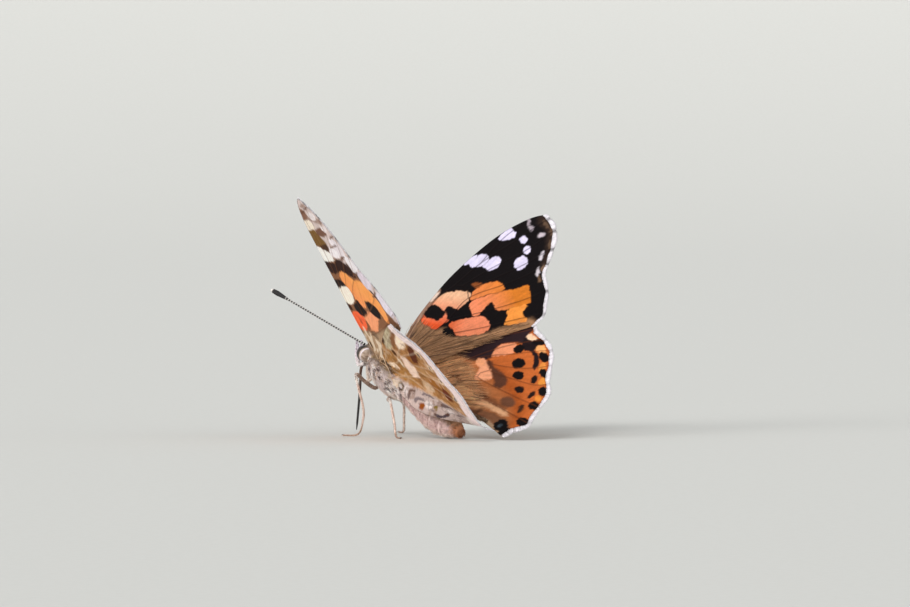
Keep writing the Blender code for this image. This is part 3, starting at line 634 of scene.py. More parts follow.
def wing_axes(name):
    """Out and fore axes of a wing and its upper normal, from its angles, as body directions."""
    side = SIDES[name.split("_")[1]]
    raised, swept, tilted = np.radians(WING_ANGLES[name])
    outwards = np.array([0.0, side * math.cos(raised), math.sin(raised)])
    flat_up = np.array([0.0, -side * math.sin(raised), math.cos(raised)])
    forwards = np.array([math.cos(tilted), 0.0, 0.0]) + math.sin(tilted) * flat_up
    upper = math.cos(tilted) * flat_up - np.array([math.sin(tilted), 0.0, 0.0])
    out = math.cos(swept) * outwards + math.sin(swept) * forwards
    return out, math.cos(swept) * forwards - math.sin(swept) * outwards, upper


def wing_rise(name, out, fore):
    """Height of the wing over its flat plane: a sine arch, with droop, twist, tuck and fold of the
    hindwing."""
    kind, side_name = name.split("_")
    arch = ARCH * np.sin(math.pi * np.clip(out / FOREWING_LENGTH, 0, 1))
    if kind == "forewing":
        share = out / FOREWING_LENGTH
        return arch - FORE_DROOP[side_name] * share**2 - FORE_TWIST[side_name] * share * fore
    behind = np.clip(-(fore + 1.0 + 0.78 * out) * 0.13, 0, 1)
    tuck = -HIND_DROP * (1 - behind * behind * (3 - 2 * behind))
    edge = np.interp(-fore, [3, 7.5, 11, 15, 18.5, 21.7], [1.8, 0.2, -0.4, -0.9, -1.5, -2.1])
    inward = np.clip(1 - (out - edge) / 4.2, 0, 1.3)
    along = np.clip((-fore - 2.0) / 15.5, 0, FOLD_REACH[side_name])
    fold = -FOLD_DEPTH * np.sin(math.pi * along) * inward**2
    flattened = (1 - HIND_FLATTENED[side_name]) * np.clip((out - 2) / 8, 0, 1)
    return arch * flattened + tuck + fold


def wing_place(name, flat):
    """Body places of flat (out, fore) places: along the wing's axes, lifted by its rise, and clear
    of the coat."""
    out, fore = flat[..., 0], flat[..., 1]
    axis_out, axis_fore, upper = wing_axes(name)
    root = WING_ROOT * (1, SIDES[name.split("_")[1]], 1)
    rise = wing_rise(name, out, fore)
    places = root + out[..., None] * axis_out + fore[..., None] * axis_fore + rise[..., None] * upper
    middle, high, wide = trunk_section(np.clip(places[..., 0], TRUNK_TIP, None))
    left, height = places[..., 1], places[..., 2] - middle
    away = np.hypot(left, height)
    surface = away / np.maximum(np.hypot(left / wide, height / high), 1e-6)
    fade = np.clip((places[..., 0] - TRUNK_TIP + 2.0) / 2.0, 0, 1)
    free = np.clip((np.hypot(out - 0.3, fore + (0.0 if name[0] == "f" else 2.4)) - 1.2) / 2.2, 0, 1)
    short = np.maximum((surface + 0.42) * fade - away, 0) * free * free * (3 - 2 * free)
    moved = places + 0
    moved[..., 1] += left / away * short
    moved[..., 2] += height / away * short
    return moved


def line_distance(flat, lines):
    """Distance of each place from the nearest of many lines of short straight spans."""
    nearest = np.full(flat.shape[:-1], 1e9)
    for line in lines:
        for start, end in zip(line, line[1:]):
            way = end - start
            share = np.clip(((flat - start) @ way) / (way @ way), 0, 1)[..., None]
            nearest = np.minimum(nearest, np.linalg.norm(flat - start - share * way, axis=-1))
    return nearest


def inside_share(flat, corners, soft, rounded=True):
    """0 outside a closed shape and 1 inside: the distance to its border, over a soft width, within
    its box."""
    line = smooth_path(corners, 0.35, closed=True) if rounded else np.array(corners, float)
    near = ((flat > line.min(0) - soft) & (flat < line.max(0) + soft)).all(-1)
    places = flat[near]
    crossed = np.zeros(len(places), bool)
    for (x0, y0), (x1, y1) in zip(line, np.roll(line, -1, 0)):
        if y0 != y1:
            between = (places[:, 1] > min(y0, y1)) & (places[:, 1] <= max(y0, y1))
            crossed ^= between & (places[:, 0] < x0 + (places[:, 1] - y0) / (y1 - y0) * (x1 - x0))
    distance = line_distance(places, [np.vstack([line, line[:1]])]) * np.where(crossed, 1, -1)
    share = np.zeros(flat.shape[:-1])
    share[near] = np.clip(distance / soft + 0.5, 0, 1)
    return share * share * (3 - 2 * share)


def painted(flat, ground, shapes, seed):
    """The ground colour with each shape laid over it in turn, its border frayed by two sizes of
    noise. A shape is (colour, soft border, corners), or (colour, second colour, start, end, soft
    border, corners) for a blend."""
    fray = np.stack([soft_noise(flat, 0.42, seed) + 0.7 * soft_noise(flat, 0.17, seed + 1),
                     soft_noise(flat, 0.42, seed + 2) + 0.7 * soft_noise(flat, 0.17, seed + 3)], -1)
    frayed = flat + 0.11 * fray
    tint = np.broadcast_to(linear(ground), (*flat.shape[:-1], 3)).copy()
    for shape in shapes:
        colour = linear(shape[0])
        if len(shape) == 6:
            start, end = np.array(shape[2]), np.array(shape[3])
            share = ((flat - start) @ (end - start)) / ((end - start) @ (end - start))
            colour = mixed(colour, linear(shape[1]), share)
        tint = mixed(tint, colour, inside_share(frayed, shape[-1], shape[-2]))
    return tint


def oval(x, y, wide, high, tilt=0):
    """Ten corners round an ellipse, for the eyespots."""
    turn = np.arange(10) * math.pi / 5
    lean = math.radians(tilt)
    a, b = wide * np.cos(turn), high * np.sin(turn)
    return np.stack([x + a * math.cos(lean) - b * math.sin(lean),
                     y + a * math.sin(lean) + b * math.cos(lean)], 1)


def ovals(colour, soft, *sizes):
    """Several ellipses as shapes that share one colour and one border width."""
    return [(colour, soft, oval(*size)) for size in sizes]


BLACK = "#0f0a0b"
LILAC_WHITE = "#d3cae2"
FORE_BASE = [(-1, 4.4), (8.2, 4.2), (8.0, 2.8), (7.9, 0.2), (8.6, -1), (8, -3), (9, -5), (10.5, -7),
             (12.5, -8.5), (13.5, -10), (15.5, -11), (14, -13), (6, -8), (-1, -3)]
FORE_UPPER = [
    ("#9c7454", 1.0, FORE_BASE),
    ("#94725f", 0.4, [(4, 2.9), (9, 4.5), (13.2, 5.0), (13.2, 4.3), (9, 3.7), (5, 2.5)]),
    ("#d9c0b0", 0.3, [(11.4, 4.8), (13.2, 4.9), (13.2, 4.45), (11.4, 4.3)]),
    ("#e05428", "#e6b28c", (8.6, 0.5), (13.8, 2.0), 0.2, [(7.9, 0.2), (7.9, 1.8), (8.2, 3.2), (9.3, 3.7),
                                                          (11.5, 3.95), (13.2, 3.7), (14.4, 2.6),
                                                          (14.95, 1.2), (15.05, 0), (13.5, -0.5),
                                                          (12.2, -0.35), (10.3, -0.45), (8.6, -0.1)]),
    (BLACK, 0.2, [(9.1, 3.6), (11.1, 3.8), (11.2, 2.2), (10.9, 1.1), (10.2, 0.8), (9.3, 1.1), (9.1, 2)]),
    (BLACK, 0.2, [(11.1, 1.4), (11.9, 1.5), (12.15, 0.8), (12, 0), (12.4, -0.45), (13.8, -0.6),
                  (13.6, -1.3), (12.3, -2.9), (11.5, -2.6), (10.2, -1), (10.1, -0.2), (10.6, 0.6)]),
    ("#e0663a", "#f08c64", (9.3, -1.3), (10.4, -3.2), 0.2, [(9.3, -1.1), (9.9, -1.1), (10.6, -1.6),
                                                            (11.7, -3), (12.7, -4.2), (12.6, -5.4),
                                                            (11.9, -6.6), (11, -6.9), (10.1, -6.4),
                                                            (9.3, -5.2), (8.5, -3.6), (8.9, -2.4)]),
    ("#e2824c", "#d67a34", (14.5, 0), (18, -2.5), 0.2, [(14.2, -0.8), (15.2, -0.1), (16.2, 0),
                                                        (17.4, -0.4), (18.3, -1.4), (18.6, -2.4),
                                                        (18.2, -3.5), (17.5, -3.8), (16, -2.2)]),
    ("#8a4a24", 0.4, [(16.2, 0.1), (16.4, 1.2), (16.9, 0.9), (17.2, -0.2)]),
    ("#ee8a60", "#cc7426", (13.2, -3.2), (17.6, -6.0), 0.2, [(12.2, -3.0), (13.7, -1.1), (15.5, -2),
                                                             (17.3, -3.7), (18.6, -5.1), (19.9, -6.3),
                                                             (19.3, -7.3), (18, -8.8), (17.3, -8.8),
                                                             (15.8, -7.3), (14.5, -5.8), (14.9, -4.7),
                                                             (15.3, -3.8), (14.2, -3.6), (13.2, -3.8),
                                                             (12.4, -3.6)]),
    ("#ea903f", 0.2, [(13.0, -8.5), (14.3, -7.7), (15.1, -6.9), (16.1, -7.6), (17.2, -8.7), (17, -9.1),
                      (15.9, -9.2), (15.4, -9.7), (15.2, -10.6), (14.8, -10.9), (14, -10.1)]),
    (BLACK, 0.25, [(7.9, -1.2), (8.6, -0.9), (9.0, -1.6), (8.8, -2.6), (8.3, -3.3), (7.9, -2.4)]),
    (LILAC_WHITE, 0.16, [(18.85, 5.1), (20.2, 5.1), (21.0, 4.5), (20.5, 4.2), (19.1, 4.2)]),
    (LILAC_WHITE, 0.16, [(19, 4.1), (21.2, 4.1), (21.6, 3), (21.2, 2.3), (20, 2.2), (19.2, 2.9)]),
    (LILAC_WHITE, 0.16, [(19.6, 2.2), (20.8, 2.1), (21.8, 2.1), (22.1, 1.2), (21.7, 0.4), (20.7, 0.05),
                         (19.8, 0.35), (19.4, 0.9), (19.7, 1.5)]),
    (LILAC_WHITE, 0.16, [(24.6, 3.5), (25.2, 4.1), (27, 4.1), (27.1, 3.5), (26.6, 2.4), (26, 2.0),
                         (25.2, 2.4)]),
    *ovals(LILAC_WHITE, 0.16, (26.2, 0.5, 0.82, 0.58, 45), (25.0, -1.35, 0.82, 0.55, 45),
           (22.7, -2.4, 1.3, 0.98, 40)),
    ("#2e211b", 1.0, [(30.9, 1.6), (29.6, 1.0), (29.0, -1.2), (27.6, -2.6), (25.6, -4.2), (23.6, -5.4),
                      (24.2, -6.0), (27, -4.8), (29.2, -3.2), (31, -0.8)]),
    ("#a5989f", 0.35, oval(28.4, 1.1, 0.34, 0.66, -25)),
    ("#b9acb2", 0.35, oval(28.1, -1.1, 0.48, 0.5)),
    ("#968a90", 0.3, oval(29.2, 2.3, 0.75, 0.25, 45)),
    ("#d2c8ce", 0.3, oval(25.1, -4.1, 1.0, 0.28, 32)),
    ("#c9bec3", 0.3, oval(22.5, -5.8, 1.0, 0.26, 38)),
    ("#7c6250", 0.4, oval(23.5, -5.9, 0.7, 0.22, 28)),
    ("#5c4636", 0.4, oval(30.0, -0.2, 1.0, 0.25, 62)),
    *ovals("#5e4838", 0.4, (29.3, -2.0, 0.9, 0.28, 52), (27.4, -3.6, 0.9, 0.24, 35)),
    ("#6b503c", 0.4, oval(21.6, -7.0, 0.7, 0.22, 45)),
]
HIND_BASE = [(-4, -1), (3, -1), (5.0, -3), (5.8, -6), (5.8, -9), (4.6, -10.6), (3.0, -12.5), (2.2, -15),
             (-4, -15)]
HIND_UPPER = [
    ("#a85220", 2.0, [(-1, -12), (6.4, -12), (6.2, -16), (5.0, -19), (2.0, -22), (-2, -20)]),
    ("#b0693c", 2.2, [(-1, -10), (5.0, -10), (4.6, -15), (3.0, -18.5), (0.4, -21), (-2, -20)]),
    ("#2c1d20", 0.6, [(5.4, -3.6), (5.9, -6.5), (6.3, -9.0), (7.5, -10.5), (8.2, -10.5), (9.8, -10.2),
                      (10.8, -11.2), (11.4, -12.6), (11.6, -13.6), (12.4, -13.8), (13.2, -12.9),
                      (15.5, -12.0), (11, -7.2), (8, -3.6), (6, -1.6)]),
    ("#b08058", 2.0, HIND_BASE),
    ("#f8aa80", 0.35, [(4.1, -10.9), (5.3, -10.6), (6, -9.8), (6.8, -8.9), (7.2, -9.9), (6.9, -10.9),
                       (6.3, -11.9), (5.6, -13.1), (4.9, -13.3), (4.1, -12.2)]),
    ("#f6a878", 0.4, oval(6.5, -9.7, 0.5, 0.9, -15)),
    ("#e8946a", 0.28, [(8.0, -10.5), (9.5, -10.2), (10.3, -10.6), (11.1, -11.9), (10.9, -12.6),
                       (9.8, -13.1), (8.9, -12.2)]),
    ("#5a3626", 0.5, [(7.0, -10.4), (7.3, -11.2), (6.7, -12.2), (6.5, -13.4), (6.2, -14.8), (5.4, -15.9),
                      (4.3, -15.6), (4.0, -14.7), (4.9, -13.8), (5.9, -12.4)]),
    ("#1f1416", 0.25, [(12.5, -12.6), (11.2, -13.4), (10.8, -14.6), (10.9, -15.4), (10.2, -16.6),
                       (9, -17.5), (8.8, -18.1), (10, -17.8), (10.9, -16.8), (11.4, -15.7), (12.4, -15.6),
                       (13.2, -14.6), (12.6, -13.8)]),
    ("#f2c8a4", 0.3, oval(13.0, -13.6, 0.5, 1.0, -5)),
    ("#eda564", 0.3, oval(11.9, -16.4, 0.6, 1.05, -15)),
    ("#de8a3e", 0.35, oval(9.7, -18.7, 0.8, 0.5, 25)),
    ("#de8c3a", 0.35, oval(7.7, -20.5, 0.75, 0.6)),
    ("#d98336", 0.35, oval(5.2, -21.9, 0.5, 0.6)),
    *ovals(BLACK, 0.2, (10.6, -13.4, 0.8, 0.85), (8.6, -15.1, 0.92, 1.05), (7, -16.5, 0.7, 1.0)),
    ("#1d1211", 0.25, oval(5.25, -18.3, 0.55, 0.85)),
    ("#6b4430", 0.6, oval(2.8, -18.3, 0.85, 1.2)),
    ("#1d1211", 0.22, oval(7.45, -19.1, 0.75, 0.5, 25)),
    ("#241512", 0.25, oval(5.2, -20.55, 0.75, 0.42)),
    ("#3c2417", 0.3, oval(2.8, -20.8, 0.75, 0.42, 15)),
    *ovals(BLACK, 0.22, (12.75, -15.2, 0.55, 1.0, 12), (11.0, -17.8, 0.62, 1.15, -20),
           (8.85, -19.8, 0.55, 1.0, -12), (6.5, -21.8, 0.75, 0.85), (4.0, -22.2, 0.75, 0.8),
           (1.1, -22.9, 0.7, 1.2)),
    ("#7a4a2e", 0.8, [(3.9, -6), (3.2, -11), (2.4, -16), (1.9, -19), (1.4, -19), (1.5, -14), (2.2, -9),
                      (3.0, -6)]),
    ("#d8a47a", 0.6, [(3.1, -5), (2.4, -10), (1.7, -15), (1.4, -19.5), (0.7, -19.5), (0.9, -14),
                      (1.5, -9), (2.4, -5)]),
    ("#7d5238", 0.7, [(1.1, -8), (0.4, -14), (0.4, -20), (-1.5, -22), (-2.0, -15), (-1, -9)]),
    ("#a5866a", 0.5, [(-0.3, -10), (-0.6, -15), (-1.3, -20), (-3, -22), (-2, -15), (-1, -10)]),
    (BLACK, 0.3, oval(-0.7, -20.3, 0.95, 1.1)),
    ("#3a444c", 0.3, oval(-0.8, -20.2, 0.3, 0.25)),
    (BLACK, 0.35, [(-2.3, -21.0), (-0.8, -20.6), (-0.6, -22.2), (-1.6, -22.2)]),
]
FORE_UNDER = [
    ("#b39272", 1.0, [(-1, 4), (6.4, 4.4), (6.8, 1), (8, -1.8), (10, -4.6), (14, -11), (14, -13),
                      (-1, -4)]),
    ("#6a4a34", 0.6, [(3.5, 3.6), (6.2, 3.9), (6, 2.9), (3.5, 2.6)]),
    ("#ff6a3c", 0.35, [(6.2, 3.5), (7.8, 4.3), (9.4, 3), (10.2, 1.2), (10.1, 0.1), (9, -0.1), (7.4, 0.8),
                       (6.4, 2)]),
    ("#ffa474", 0.35, [(7.7, -0.3), (8.5, -0.9), (9.4, -0.4), (10, 0.1), (11, -1.4), (12.3, -2.6),
                       (13, -4.2), (12.8, -5.7), (12.2, -5.3), (10.5, -4.1), (9, -3)]),
    ("#ff9a5c", "#ffa458", (12.8, -1.5), (17.6, -2.6), 0.35, [(12.2, -0.3), (14, 0.2), (15.2, 1.6),
                                                              (16.6, 1.7), (18, 0.6), (18.5, -1.2),
                                                              (18.3, -3), (19.2, -5), (19.0, -7),
                                                              (17.2, -8.7), (15.4, -9.2), (13.6, -8.9),
                                                              (13.4, -7.8), (14.9, -6.8), (15.3, -5),
                                                              (14.4, -3.2), (13, -2.6)]),
    ("#1c0a07", 0.25, [(10.2, 1.6), (11, 1.95), (12, 0.7), (13.3, -0.3), (12.7, -1.2), (11.8, -2.1),
                       (10.8, -0.9), (9.9, 0.2)]),
    ("#fff1e0", 0.25, [(10.2, 4.9), (12, 5.3), (13.6, 3.7), (14.8, 1.7), (14.6, 0.5), (12.6, 0.7),
                       (11.4, 1.8), (10.5, 3.4)]),
    ("#341810", 0.3, [(8.9, 5.2), (10.2, 5.2), (10.4, 3.3), (9.6, 3.1)]),
    ("#1e0d08", 0.25, [(12.2, 5.3), (13.7, 5.3), (15.1, 3.3), (15.6, 1.6), (14.9, 1.2), (14, 2.9),
                       (13, 4.2)]),
    ("#150604", 0.25, [(12.7, -3.6), (14.2, -3.3), (15.2, -4.8), (14.9, -6.8), (13.4, -6.6),
                       (12.5, -5.5)]),
    ("#2e1209", 0.3, [(15.8, 4.8), (17.6, 5.6), (18.4, 3.2), (19.2, 1), (20.4, 0.2), (21, -1),
                      (21.7, -2.7), (20.6, -4.1), (19.4, -4.5), (18.8, -2.4), (18.5, -0.4), (17.4, 1.5),
                      (16.2, 3.1)]),
    ("#fff8f0", 0.22, [(17.7, 5.7), (19.8, 5.5), (20.9, 3.6), (21.5, 1.8), (20.9, 0.5), (19.8, 0.8),
                       (18.8, 2.6), (17.9, 4.2)]),
    ("#7d5a2a", 0.4, [(20.6, 5.6), (23.2, 5.2), (24.5, 3.4), (25, 1), (24, 0.5), (22.6, -0.6),
                      (21.6, 0.6), (21.5, 2.4)]),
    ("#4a2c18", 0.4, [(20.9, 3.4), (21.9, 2.4), (23.0, 0.4), (22.2, -0.4), (21.4, 0.8)]),
    ("#d8c4be", 0.6, [(20.6, 0.8), (23.2, 0.2), (25.6, 2.4), (28, 3.2), (31.4, 1.4), (31, -1.5),
                      (28.5, -3.9), (23, -7.0), (20.3, -10), (17, -12.5), (15, -11.6), (17, -9),
                      (19, -6.4), (20.8, -4.2), (21.4, -2)]),
    ("#f8e8d4", 0.3, [(23.6, 5), (25.3, 4.6), (26.8, 2.2), (26.1, 1.1), (25.0, 2.2), (23.9, 4)]),
    ("#8a6350", 0.4, [(25.3, 4.9), (27.6, 3.9), (28.8, 2.2), (27.5, 1.4), (26.6, 2.6)]),
    ("#7a5442", 0.35, [(24.2, 1.4), (25.4, 1.4), (27.0, -1.2), (26.3, -2.0), (25.2, -0.6)]),
    ("#a88c80", 0.4, [(27.0, 1.8), (27.8, 1.6), (29.2, -2.2), (28.4, -2.6)]),
    ("#a88c80", 0.4, oval(29.9, 1.3, 0.3, 1.2, 35)),
    ("#4a2a1c", 0.3, [(21.2, -3.2), (20.6, -4.2), (19.4, -5.8), (17.9, -8.0), (16.2, -9.6), (16.6, -9.9),
                      (18.4, -8.4), (19.9, -6.3), (21.0, -4.8), (21.8, -3.4)]),
    ("#f8eef0", 0.3, [(20.9, 0.7), (22.7, -0.1), (23.4, -2), (22.5, -2.5), (21.4, -1.2)]),
    ("#f4e8e6", 0.3, oval(28.6, 0.0, 0.7, 1.5, 35)),
    ("#f0e2e0", 0.3, oval(27.3, -2.0, 0.5, 1.2, 35)),
    ("#efe3e6", 0.3, [(22.6, -2.6), (24.6, -1.3), (26.0, -3), (25.6, -4.6), (24, -4.8), (22.9, -3.6)]),
    ("#f2eaec", 0.3, [(21.1, -4.2), (23.1, -3.9), (23.7, -5.4), (22.8, -6.8), (21.6, -6.3), (20.7, -5.2)]),
    ("#e2d4de", 0.3, [(18.9, -6.1), (20.9, -5.6), (21.9, -7.3), (20.9, -8.8), (19.6, -8.4), (18.7, -7.2)]),
    ("#e6dce6", 0.3, [(16.4, -9.3), (18.7, -8.8), (19.7, -10.2), (18.5, -11.8), (16.8, -12.2),
                      (15.6, -10.8)]),
    *ovals("#6b4636", 0.4, (28.0, 2.6, 0.2, 1.3, 40), (29.7, 0.7, 0.16, 1.3, 40)),
    *ovals("#7d5a48", 0.4, (26.3, -3.2, 0.18, 1.2, 40), (25.3, -0.6, 0.2, 1.3, 35)),
    *ovals("#6e4a3a", 0.35, (22.2, -2.9, 0.16, 1.6, 38), (24.0, -2.0, 0.14, 1.9, 35),
           (20.4, -5.0, 0.18, 1.5, 40), (18.3, -8.2, 0.18, 1.4, 45)),
]
HIND_FOLD = [(2.2, -3), (2.0, -9), (1.9, -14), (1.3, -18), (0.3, -22), (-3, -22), (-2, -12), (-1, -3)]
HIND_UNDER = [
    ("#a87640", 1.0, [(2.4, -3), (6.4, -3), (6.6, -8.4), (2.6, -9.4)]),
    ("#c0b090", 0.8, [(8, -5.6), (12.6, -8), (13.6, -11), (9.6, -8.8), (7.6, -7)]),
    ("#ffdcbc", 0.7, oval(7.4, -2.6, 1.3, 0.6, -30)),
    ("#f8dcc0", 0.5, oval(4.0, -5.4, 0.4, 1.0)),
    ("#efdcc4", 0.5, oval(5.6, -7.9, 0.9, 0.35)),
    ("#f8d6c2", 0.6, [(3.8, -9.0), (6.8, -8.9), (7.8, -10.4), (6.6, -11.6), (4.4, -11.3)]),
    ("#ffe4ca", 0.5, [(9.4, -10.0), (11.4, -10.6), (13.4, -12.8), (13.0, -13.9), (11.4, -13.2),
                      (10, -11.8)]),
    ("#8a5a38", 0.6, [(8.6, -8.6), (10.4, -8.9), (13.6, -11.4), (14.4, -12.4), (12.6, -11.6), (10, -9.8)]),
    ("#a8682a", 0.6, oval(8.0, -12.0, 1.0, 1.0)),
    ("#5e280a", 0.5, [(7.8, -12.4), (9.4, -12.5), (11.4, -13.8), (11.6, -14.9), (9.8, -14.7), (8, -13.6)]),
    *ovals("#46260f", 0.5, (5.8, -2.9, 1.1, 0.6, -25), (9.0, -5.8, 1.2, 0.5, -30)),
    ("#55300f", 0.5, oval(7.4, -7.6, 0.6, 0.6)),
    ("#3f2110", 0.4, oval(3.4, -3.6, 0.35, 0.8, -15)),
    ("#c79f78", 0.7, oval(3.4, -12.6, 0.8, 1.6, 8)),
    ("#a06428", 0.7, oval(4.8, -15.4, 1.3, 1.5, 15)),
    ("#b88858", 0.7, oval(6.6, -14.2, 0.8, 1.6, 25)),
    ("#6a2c10", 0.6, oval(4.1, -17.9, 1.2, 1.1)),
    ("#e0bf9a", 0.5, oval(10.5, -15.6, 0.75, 0.7)),
    ("#5c4438", 0.3, oval(10.5, -15.6, 0.42, 0.4)),
    ("#8a98a0", 0.2, oval(10.5, -15.6, 0.16, 0.16)),
    ("#e0bf9a", 0.5, oval(8.7, -17.1, 0.65, 0.6)),
    ("#6e5242", 0.3, oval(8.7, -17.1, 0.34, 0.32)),
    ("#e0bf9a", 0.5, oval(6.9, -18.5, 0.6, 0.55)),
    ("#6e5242", 0.3, oval(6.9, -18.5, 0.3, 0.28)),
    ("#e0bf9a", 0.5, oval(4.3, -20.1, 0.75, 0.65)),
    ("#5c4438", 0.3, oval(4.3, -20.1, 0.42, 0.38)),
    ("#8a98a0", 0.2, oval(4.3, -20.1, 0.16, 0.15)),
    ("#bda79f", 0.5, HIND_FOLD),
    *ovals("#d9cac5", 0.5, (1.3, -7.4, 0.5, 0.9), (0.6, -12.2, 0.5, 0.8), (0.3, -16.0, 0.5, 0.9)),
    ("#4e3a30", 0.25, oval(1.4, -6.2, 0.6, 0.7)),
    ("#b0a4a8", 0.22, oval(1.4, -6.1, 0.28, 0.34)),
    ("#6a5856", 0.25, [(0.3, -8.0), (0.9, -7.7), (1.5, -8.3), (1.7, -9.3), (1.5, -9.2), (1.2, -8.4),
                       (0.5, -8.2)]),
    ("#7c6c6c", 0.25, [(0.3, -9.6), (0.7, -9.3), (1.1, -10.0), (0.9, -11.4), (0.75, -11.3), (0.8, -10.2),
                       (0.4, -9.8)]),
    ("#8c4716", 0.22, oval(0.2, -11.0, 0.36, 0.5)),
    ("#7c6c6c", 0.25, [(1.5, -10.6), (1.9, -11.6), (1.7, -13.4), (1.5, -13.3), (1.6, -11.7),
                       (1.3, -10.9)]),
    ("#7c6430", 0.3, oval(0.45, -13.6, 0.3, 0.45)),
    ("#4a3c42", 0.22, [(-0.2, -13.2), (-0.65, -13.8), (-0.6, -15.2), (-0.1, -16.0), (0.1, -15.6),
                       (-0.3, -14.8), (-0.3, -14.0)]),
    ("#6a5754", 0.25, [(0.9, -14.4), (1.4, -15.0), (1.3, -16.8), (1.0, -17.2), (1.0, -16.0),
                       (0.8, -15.2)]),
    ("#8f7a78", 0.3, oval(0.2, -18.0, 0.22, 1.0, 10)),
    ("#ecdfd6", 0.5, [(0.6, -19.6), (0.9, -21.5), (-0.4, -23.4), (-2.4, -22), (-2.0, -19.6), (-0.6, -19)]),
]


# Flat pigment scales in overlapping rows 0.1 mm apart: matt like pastel, with a faint silk sheen when
# they are seen at a low angle.
scales, tree, shader, place = tinted_finish("wing_scales", {
    "Roughness": 0.68, "IOR": 1.5, "Specular IOR Level": 0.05, "Sheen Weight": 0.01})
cells = add_node(tree, "ShaderNodeTexVoronoi", {"Scale": 8000.0}, [(place, "Vector")])
bump = add_node(tree, "ShaderNodeBump", {"Strength": 0.45, "Distance": 0.00004},
                [(cells.outputs["Distance"], "Height")])
tree.links.new(bump.outputs["Normal"], shader.inputs["Normal"])

# Kinds: (front, outer and hind outline, veins, grid, colour and marks above, colour and marks below)
WING_KINDS = {
    "forewing": (FORE_COSTA, FORE_OUTER, FORE_HIND, FORE_VEINS, (300, 162), BLACK, FORE_UPPER,
                 "#8a5c3e", FORE_UNDER),
    "hindwing": (HIND_COSTA, HIND_OUTER, HIND_INNER, HIND_VEINS, (236, 200), "#bf632e", HIND_UPPER,
                 "#b07c4a", HIND_UNDER),
}


def grain(flat, seed):
    """Small unevenness of the scales' tone: noise at the size of a scale and of a few scales."""
    fine = np.random.default_rng(seed).uniform(-1, 1, flat.shape[:-1])
    return 1 + 0.07 * soft_noise(flat, 0.3, seed) + 0.07 * soft_noise(flat, 0.13, seed + 1) + 0.05 * fine


UPPER_SEED = 60
UNDER_SEED = 80
# The places (out, fore) that the streaks and the hair of each kind of wing run away from
HUBS = {"forewing": (1.0, 1.8), "hindwing": (-0.8, 1.2)}


def strands(kind, flat):
    """How light each place is and whether it lies in a dark parting between strands, where shade is
    painted, both by noise that is fine by the bearing from the wing's hub and long by the distance: a
    parting is where the second noise crosses zero."""
    away = flat - HUBS[kind]
    bearing, reach = np.arctan2(away[..., 1], away[..., 0]), np.hypot(away[..., 0], away[..., 1])
    light = soft_noise(np.stack([bearing * 60, reach * 0.4], -1), 1.0, 95)
    crossing = soft_noise(np.stack([bearing * 24, reach * 0.16], -1), 1.0, 99)
    return bearing, reach, light, np.clip(1.3 - np.abs(crossing) / 0.09, 0, 1)


def on_sheet(flat):
    """UV places of flat ones: each wing lies on half of a sheet 35 mm wide, upper side left,
    underside right."""
    return (flat + (3, 25)) / 35 * (0.49, 0.99)


